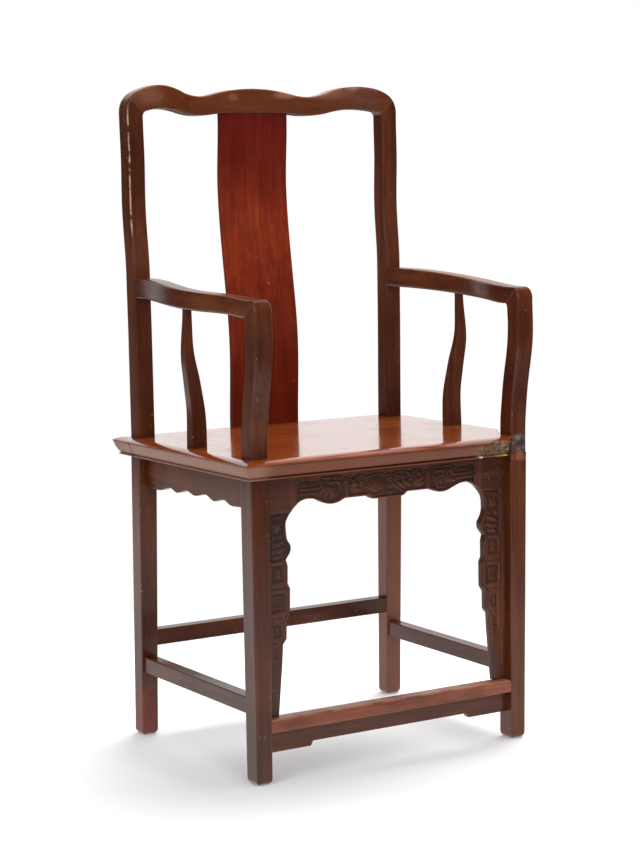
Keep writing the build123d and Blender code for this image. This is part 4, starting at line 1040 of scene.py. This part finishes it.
def broken_corner(place, colour, moulding):
    """Torn wood beside the break in dark olive and ochre, with drops of glue and painted shadow in
    an open joint.

    Gives the colour, the share of torn wood, and its blotches.
    """
    blotch = place.noise(130, detail=4, rough=0.7)
    centre = (LEG_INNER_X - 42 * MM, SEAT_FRONT + 10 * MM, SEAT_TOP - 19 * MM)
    torn = place.spot(centre, (44 * MM, 30 * MM, 16 * MM), 0.2)
    behind = (SEAT_RIGHT - 22 * MM, SEAT_FRONT + 74 * MM, SEAT_TOP - 12 * MM)
    torn = torn.math("MAXIMUM", place.spot(behind, (34 * MM, 34 * MM, 12 * MM), 0.2))
    fibres = blotch.ramp(
        (0.36, srgb(50, 38, 32)),
        (0.48, srgb(88, 64, 46)),
        (0.58, srgb(108, 82, 58)),
        (0.72, srgb(150, 124, 94)),
    )
    ragged = (torn * 1.5 + blotch * 0.9 - 0.95).smooth(0.0, 0.22)
    colour = colour.cover(ragged, fibres)
    # Drops of old glue and a white chip along the moulding's lower edge, in millimetres
    for inset, drop, wide, high, drop_tone in (
        (25, 27, 5, 3, srgb(178, 132, 36)),
        (35, 28, 3.4, 2.2, srgb(152, 116, 44)),
        (72, 27, 4, 2, srgb(196, 184, 170)),
    ):
        at = (LEG_INNER_X - inset * MM, SEAT_FRONT + 10 * MM, SEAT_TOP - drop * MM)
        drip = place.spot(at, (wide * MM, 14 * MM, high * MM), 0.3) * blotch.smooth(0.36, 0.48)
        colour = colour.cover(drip * 0.9, drop_tone)
    # Painted shadow in the open joint at the end of the front rail
    gap_shadow = place.axis(0).smooth(LEG_INNER_X - 21 * MM, LEG_INNER_X - 19.5 * MM) * moulding
    in_front = 1 - place.axis(1).smooth(SEAT_FRONT + 28 * MM, SEAT_FRONT + 30 * MM)
    colour = colour.cover(gap_shadow * in_front * 0.9, srgb(18, 12, 10))
    return colour, ragged, blotch


def seat_marks(place, colour, rough, height):
    """The seat's joints, its moulding and its broken corner."""
    joints = panel_joints(place)
    colour = colour.cover(joints * 0.85, srgb(34, 16, 10))
    moulding = edge_moulding(place)
    colour = moulding_tone(place, colour, moulding)
    colour = colour.cover(butt_joint(place) * 0.95, srgb(20, 11, 8))
    colour, ragged, blotch = broken_corner(place, colour, moulding)
    rough = rough + moulding * 0.22 + ragged * 0.6
    return colour, rough, height + ragged * blotch * 14.0 - joints * 3.0


SPLINTER_SIZE = 2.2 * MM
SPLINTER_CELLS = (260, 260, 90)  # splinters to a metre, along X, Y and Z
BREAK_START_X = LEG_INNER_X - 24 * MM  # the break's far ends, along the front and the side
BREAK_END_Y = SEAT_FRONT + 137 * MM


def splinter(node, material):
    """A seat rail whose broken faces are torn into splinters."""
    mesh = merged_copy(node)

    def broken(face):
        """Whether an upright face is part of the ragged line, and not of the moulding."""
        centre = face.calc_center_median()
        upright = abs(face.normal.z) < 0.05
        inside = centre.x < SEAT_RIGHT - 1.5 * MM and centre.y > SEAT_FRONT + 1.0 * MM
        near = centre.x > BREAK_START_X and centre.y < BREAK_END_Y
        outwards = face.normal.x > 0.3 and face.normal.y < 0.05
        backwards = face.normal.y < -0.3 and centre.x > LEG_INNER_X
        slanted = abs(face.normal.x) > 0.1 and abs(face.normal.y) > 0.05
        return upright and inside and near and slanted and (outwards or backwards)

    bmesh.ops.triangulate(mesh, faces=[f for f in mesh.faces if broken(f)])
    for _ in range(4):
        torn = [f for f in mesh.faces if broken(f)]
        long_edges = (e for f in torn for e in f.edges if e.calc_length() > SPLINTER_SIZE)
        edges = list(dict.fromkeys(long_edges))
        if not edges:
            break
        bmesh.ops.subdivide_edges(mesh, edges=edges, cuts=1, use_grid_fill=True)
        bmesh.ops.triangulate(mesh, faces=[f for f in mesh.faces if broken(f)])
    depth = context_sizes().splinter_depth
    moves = {}
    for face in mesh.faces:
        if broken(face):
            for vertex in face.verts:
                moves.setdefault(vertex, face.normal.copy())
    for vertex, normal in moves.items():
        tooth = noise.noise(Vector([v * cells for v, cells in zip(vertex.co, SPLINTER_CELLS)]))
        vertex.co -= normal * depth * (0.5 + 0.9 * abs(tooth) + 0.4 * tooth)
    finish_piece(mesh, node, "broken", material, sharp=20.0)


class PolishSeat(bpy.types.Operator):
    """The seat's frame and panel under a high polish, with its broken corner"""

    bl_idname = "armchair.polish_seat"
    bl_label = "Polish Seat"

    def execute(self, context):
        for name, along, nodes, torn, offset in (
            ("seat_wood_across", "x", ("seat_rear_rail", "seat_panel"), "seat_front_rail", 0.2),
            ("seat_wood_deep", "y", ("seat_side_rail_left",), "seat_side_rail_right", 0.45),
        ):
            finish = wood(
                name,
                along,
                three_tones("seat"),
                srgb(190, 130, 86),
                gloss=0.13,
                coat=polished_top,
                offset=offset,
                extra=seat_marks,
            )
            for node in nodes:
                polish(node, finish)
            splinter(torn, finish)
        raw = wood(
            "unpolished_wood",
            "y",
            (srgb(60, 40, 28), srgb(86, 60, 44), srgb(110, 82, 62)),
            srgb(120, 92, 72),
            gloss=0.75,
            coat=0.0,
            offset=0.6,
        )
        for node in ("seat_batten_left", "seat_batten_right"):
            polish(node, raw)
        return {"FINISHED"}


def in_recesses(place, colour, rough, height):
    """Dust and painted shade darken what lies below the board's face; the plain ends are redder."""
    sunk = place.axis(1) - face_y(place.axis(2))
    below = sunk.smooth(0.4 * MM, 2.4 * MM)
    front = 1 - sunk.smooth(4.5 * MM, 5.5 * MM)
    # Painted shade together with dust in the carving's recesses
    colour = colour.tint(below * front * 0.5, srgb(120, 100, 92))
    side = place.axis(0).math("ABSOLUTE")
    plain_start = side.smooth(CARVED_HALF * MM, (CARVED_HALF + 12) * MM)
    plain_end = 1 - side.smooth(175 * MM, 180 * MM)
    carved = 1 - plain_start * plain_end
    grey = place.noise(26, detail=3).smooth(0.42, 0.62) * 0.14 * carved
    colour = colour.cover((1 - carved) * front * 0.4, srgb(112, 52, 24))
    left = 1 - place.axis(0).smooth(-150 * MM, -130 * MM)
    colour = colour.cover((grey + left * 0.28) * front, srgb(52, 38, 36))
    return colour, rough + below * front * 0.25, height


class CarveAprons(bpy.types.Operator):
    """Front apron and spandrels with their carving, and the plain aprons"""

    bl_idname = "armchair.carve_aprons"
    bl_label = "Carve Aprons"

    def execute(self, context):
        across = frame_wood("x", "apron_wood_across", 0.83)
        carved = {"extra": in_recesses, "gloss": 0.34, "coat": 0.12, "rubbed": 0.3}
        carved_across = frame_wood("x", "carved_wood_across", 0.83, **carved)
        carved_upright = frame_wood("z", "carved_wood_upright", 0.12, **carved)
        deep = frame_wood("y", "apron_wood_deep", 0.4)
        for node in ("rear_apron", "footrest_apron"):
            polish(node, across)
        for node in ("side_apron_left", "side_apron_right"):
            polish(node, deep)
        apron_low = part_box("front_apron")[0].z
        carved_board("front_apron", carve_front_apron, carved_across, apron_low, UNDERSIDE)
        for node, way in (("front_spandrel_left", -1), ("front_spandrel_right", 1)):
            carved_board(
                node,
                lambda relief, way=way: carve_spandrel(relief, way),
                carved_upright,
                UNDERSIDE - CARVED_SPANDREL_END * MM,
                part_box(node)[1].z,
            )
        return {"FINISHED"}


def foot_wear_and_reflection(place, colour, rough, height):
    """Rubbed pale on its top, by feet, with a painted reflection on the upward faces as well."""
    # Upward faces take a pale colour that is partly wear and partly a painted reflection
    up = surface_normal(place).axis(2).smooth(0.35, 0.9)
    rub = place.noise(22, detail=4).smooth(0.35, 0.6)
    return colour.cover(up * rub * 0.5, srgb(176, 128, 96)), rough, height


class WearFootrest(bpy.types.Operator):
    """The footrest, worn pale by feet, with a painted reflection on its top"""

    bl_idname = "armchair.wear_footrest"
    bl_label = "Wear Footrest"

    def execute(self, context):
        worn = wood(
            "footrest_wood",
            "x",
            three_tones("footrest"),
            srgb(176, 124, 92),
            gloss=0.36,
            offset=0.25,
            extra=foot_wear_and_reflection,
        )
        polish("footrest_rail", worn)
        return {"FINISHED"}


class SetNails(bpy.types.Operator):
    """Three small nail heads in the left side apron"""

    bl_idname = "armchair.set_nails"
    bl_label = "Set Nails"

    def execute(self, context):
        material, place, shader = new_material("nail_metal")
        dull = place.noise(900, detail=3)
        feed(
            shader,
            Base_Color=dull.ramp((0.0, srgb(150, 140, 120)), (1.0, srgb(215, 205, 188))),
            Roughness=dull * 0.3 + 0.3,
            Metallic=1.0,
        )
        polish("side_apron_nails", material)
        return {"FINISHED"}


# ------------------------------------------------------------------ stage
BACKDROP_WAY = (0.52, 0.85, 0.08)  # where the white backdrop stands, seen from the chair
SOFTBOX_WAY = (-0.55, -0.72, 0.42)  # the broad light's side, at the camera's left
SOFTBOX_LIGHT = 0.85
SOFT_LIGHT = 0.36  # even light from all round
DIM_ROOM = 0.015  # what polish mirrors away from the backdrop
FLOOR_HALF = 9.0
FLOOR_TONE = (0.75, 0.75, 0.75, 1)
SHADOW_END = (0.45, 1.25)  # metres from the middle between which the floor turns white
LEAST_WHITE = 0.10  # share of pure white that the floor keeps in the shadow
MIRRORED_END = (1.7, 2.9)  # metres between which the mirrored floor turns dark
MIRRORED_SHIFT = (0.5, -0.6, 0)  # from the mirrored floor's middle to the chair
SEAT_HIGH = (0, 0, 0.5)
LAMPS = (  # name, place, aim, width in metres, power in watts, and whether polish mirrors it
    ("left", (-3.0, -1.4, 2.3), SEAT_HIGH, 1.6, 25.0, True),
    ("front", (-0.4, -3.8, 2.6), SEAT_HIGH, 1.6, 30.0, True),
    ("top", (1.05, 0.72, 3.0), (0, 0, 0.2), 2.6, 190.0, False),
)
CAMERA_PLACE = (-1.77986, -2.91447, 0.89968)
CAMERA_TURN = (31.312, 6.392, -1.131)  # degrees: right of +Y, downwards, and about the lens
CAMERA_LENS = 89.38  # millimetres, on the 36 mm sensor


class SetStage(bpy.types.Operator):
    """Pale floor, soft lamps and the camera"""

    bl_idname = "armchair.set_stage"
    bl_label = "Set Stage"

    def execute(self, context):
        scene = context.scene
        self.lay_floor(scene)
        self.light_room(scene)
        for lamp in LAMPS:
            self.hang_lamp(scene, *lamp)
        self.place_camera(scene)
        scene.view_settings.view_transform = "Standard"
        return {"FINISHED"}

    @staticmethod
    def lay_floor(scene):
        """A wide flat floor that keeps the chair's shadow and turns white around it."""
        mesh = bmesh.new()
        bmesh.ops.create_grid(mesh, x_segments=1, y_segments=1, size=FLOOR_HALF)
        floor_data = bpy.data.meshes.new("floor")
        mesh.to_mesh(floor_data)
        mesh.free()
        floor = bpy.data.objects.new("floor", floor_data)
        scene.collection.objects.link(floor)
        material, place, shader = new_material("pale_floor")
        feed(shader, Base_Color=FLOOR_TONE, Roughness=0.9, Specular_IOR_Level=0.1)
        tree = place.tree
        camera_ray = place.node("ShaderNodeLightPath", output=0)
        glossy_ray = place.node("ShaderNodeLightPath", output=3)
        # Reflections see a white sweep near the chair and a dim room beyond it
        far = place.moved(place=MIRRORED_SHIFT).length()
        left = 1 - place.axis(0).smooth(-1.0, -0.3)
        lit = 1 - glossy_ray * (far.smooth(*MIRRORED_END) * 0.98)
        lit = lit * (1 + glossy_ray * left * 0.35)
        white = tree.nodes.new("ShaderNodeEmission")
        plug(white.inputs["Color"], lit)
        plug(white.inputs["Strength"], 1.0)
        fade = tree.nodes.new("ShaderNodeMixShader")
        whiter = place.length().smooth(*SHADOW_END) * (1 - LEAST_WHITE)
        share = camera_ray * (whiter + LEAST_WHITE)
        plug(fade.inputs[0], share.math("MAXIMUM", glossy_ray))
        tree.links.new(shader.outputs[0], fade.inputs[1])
        tree.links.new(white.outputs[0], fade.inputs[2])
        tree.links.new(fade.outputs[0], tree.nodes["Material Output"].inputs["Surface"])
        floor_data.materials.append(material)

    @staticmethod
    def light_room(scene):
        """White where the camera looks, a white backdrop in reflections, and soft light."""
        world = bpy.data.worlds.new("studio")
        scene.world = world
        world.use_nodes = True
        tree = world.node_tree
        path = tree.nodes.new("ShaderNodeLightPath")
        seen = Sock(tree, path.outputs["Is Camera Ray"])
        mirrored = Sock(tree, path.outputs["Is Glossy Ray"])
        way = Sock(tree, tree.nodes.new("ShaderNodeTexCoord").outputs["Generated"])
        backdrop = way.dot(BACKDROP_WAY).smooth(0.60, 0.86) * (1 - DIM_ROOM) + DIM_ROOM
        soft = way.dot(SOFTBOX_WAY).smooth(-0.2, 1.0) * SOFTBOX_LIGHT + SOFT_LIGHT
        light = seen + (1 - seen) * (mirrored * backdrop + (1 - mirrored) * soft)
        background = tree.nodes["Background"]
        plug(background.inputs["Color"], light)
        plug(background.inputs["Strength"], 1.0)

    @staticmethod
    def hang_lamp(scene, name, place, aim, width, power, mirrored):
        """A square lamp."""
        lamp_data = bpy.data.lights.new(name, "AREA")
        lamp_data.shape = "SQUARE"
        lamp_data.size = width
        lamp_data.energy = power
        lamp = bpy.data.objects.new(name, lamp_data)
        lamp.visible_glossy = mirrored
        lamp.location = place
        lamp.rotation_mode = "QUATERNION"
        lamp.rotation_quaternion = (Vector(aim) - Vector(place)).to_track_quat("-Z", "Y")
        scene.collection.objects.link(lamp)

    @staticmethod
    def place_camera(scene):
        """A long lens from the front left, a little above the arms."""
        data = bpy.data.cameras.new("camera")
        camera = bpy.data.objects.new("camera", data)
        scene.collection.objects.link(camera)
        scene.camera = camera
        data.sensor_width = 36.0
        data.lens = CAMERA_LENS
        data.clip_end = 60.0
        yaw, pitch, roll = (math.radians(angle) for angle in CAMERA_TURN)
        right = Vector((math.cos(yaw), -math.sin(yaw), 0))
        ahead = Vector(
            (
                math.sin(yaw) * math.cos(pitch),
                math.cos(yaw) * math.cos(pitch),
                -math.sin(pitch),
            )
        )
        up = right.cross(ahead)
        rolled_right = right * math.cos(roll) + up * math.sin(roll)
        rolled_up = up * math.cos(roll) - right * math.sin(roll)
        turn = Matrix((rolled_right, rolled_up, -ahead)).transposed().to_4x4()
        camera.matrix_world = Matrix.Translation(CAMERA_PLACE) @ turn


class ArmchairPanel(bpy.types.Panel):
    """Lists the steps that dress the armchair"""

    bl_idname = "VIEW3D_PT_armchair"
    bl_label = "Armchair"
    bl_space_type = "VIEW_3D"
    bl_region_type = "UI"
    bl_category = "Armchair"

    def draw(self, context):
        for group in (context.scene.armchair_sizes, context.scene.armchair_colours):
            for name in type(group).__annotations__:
                self.layout.prop(group, name)
        for step in STEPS:
            self.layout.operator(step.bl_idname)


STEPS = (
    SetStage,
    PolishPosts,
    PolishSplat,
    PolishSeat,
    CarveAprons,
    WearFootrest,
    SetNails,
)
CLASSES = (ArmchairColours, ArmchairSizes, *STEPS, ArmchairPanel)


def register():
    """Makes the steps, the panel and the settings known."""
    for one in CLASSES:
        bpy.utils.register_class(one)
    bpy.types.Scene.armchair_colours = PointerProperty(type=ArmchairColours)
    bpy.types.Scene.armchair_sizes = PointerProperty(type=ArmchairSizes)


def unregister():
    """Takes them away again."""
    del bpy.types.Scene.armchair_sizes
    del bpy.types.Scene.armchair_colours
    for one in reversed(CLASSES):
        bpy.utils.unregister_class(one)


def main():
    """Dresses the armchair step by step."""
    register()
    for step in STEPS:
        group, action = step.bl_idname.split(".")
        getattr(getattr(bpy.ops, group), action)()


if __name__ == "__main__":
    main()
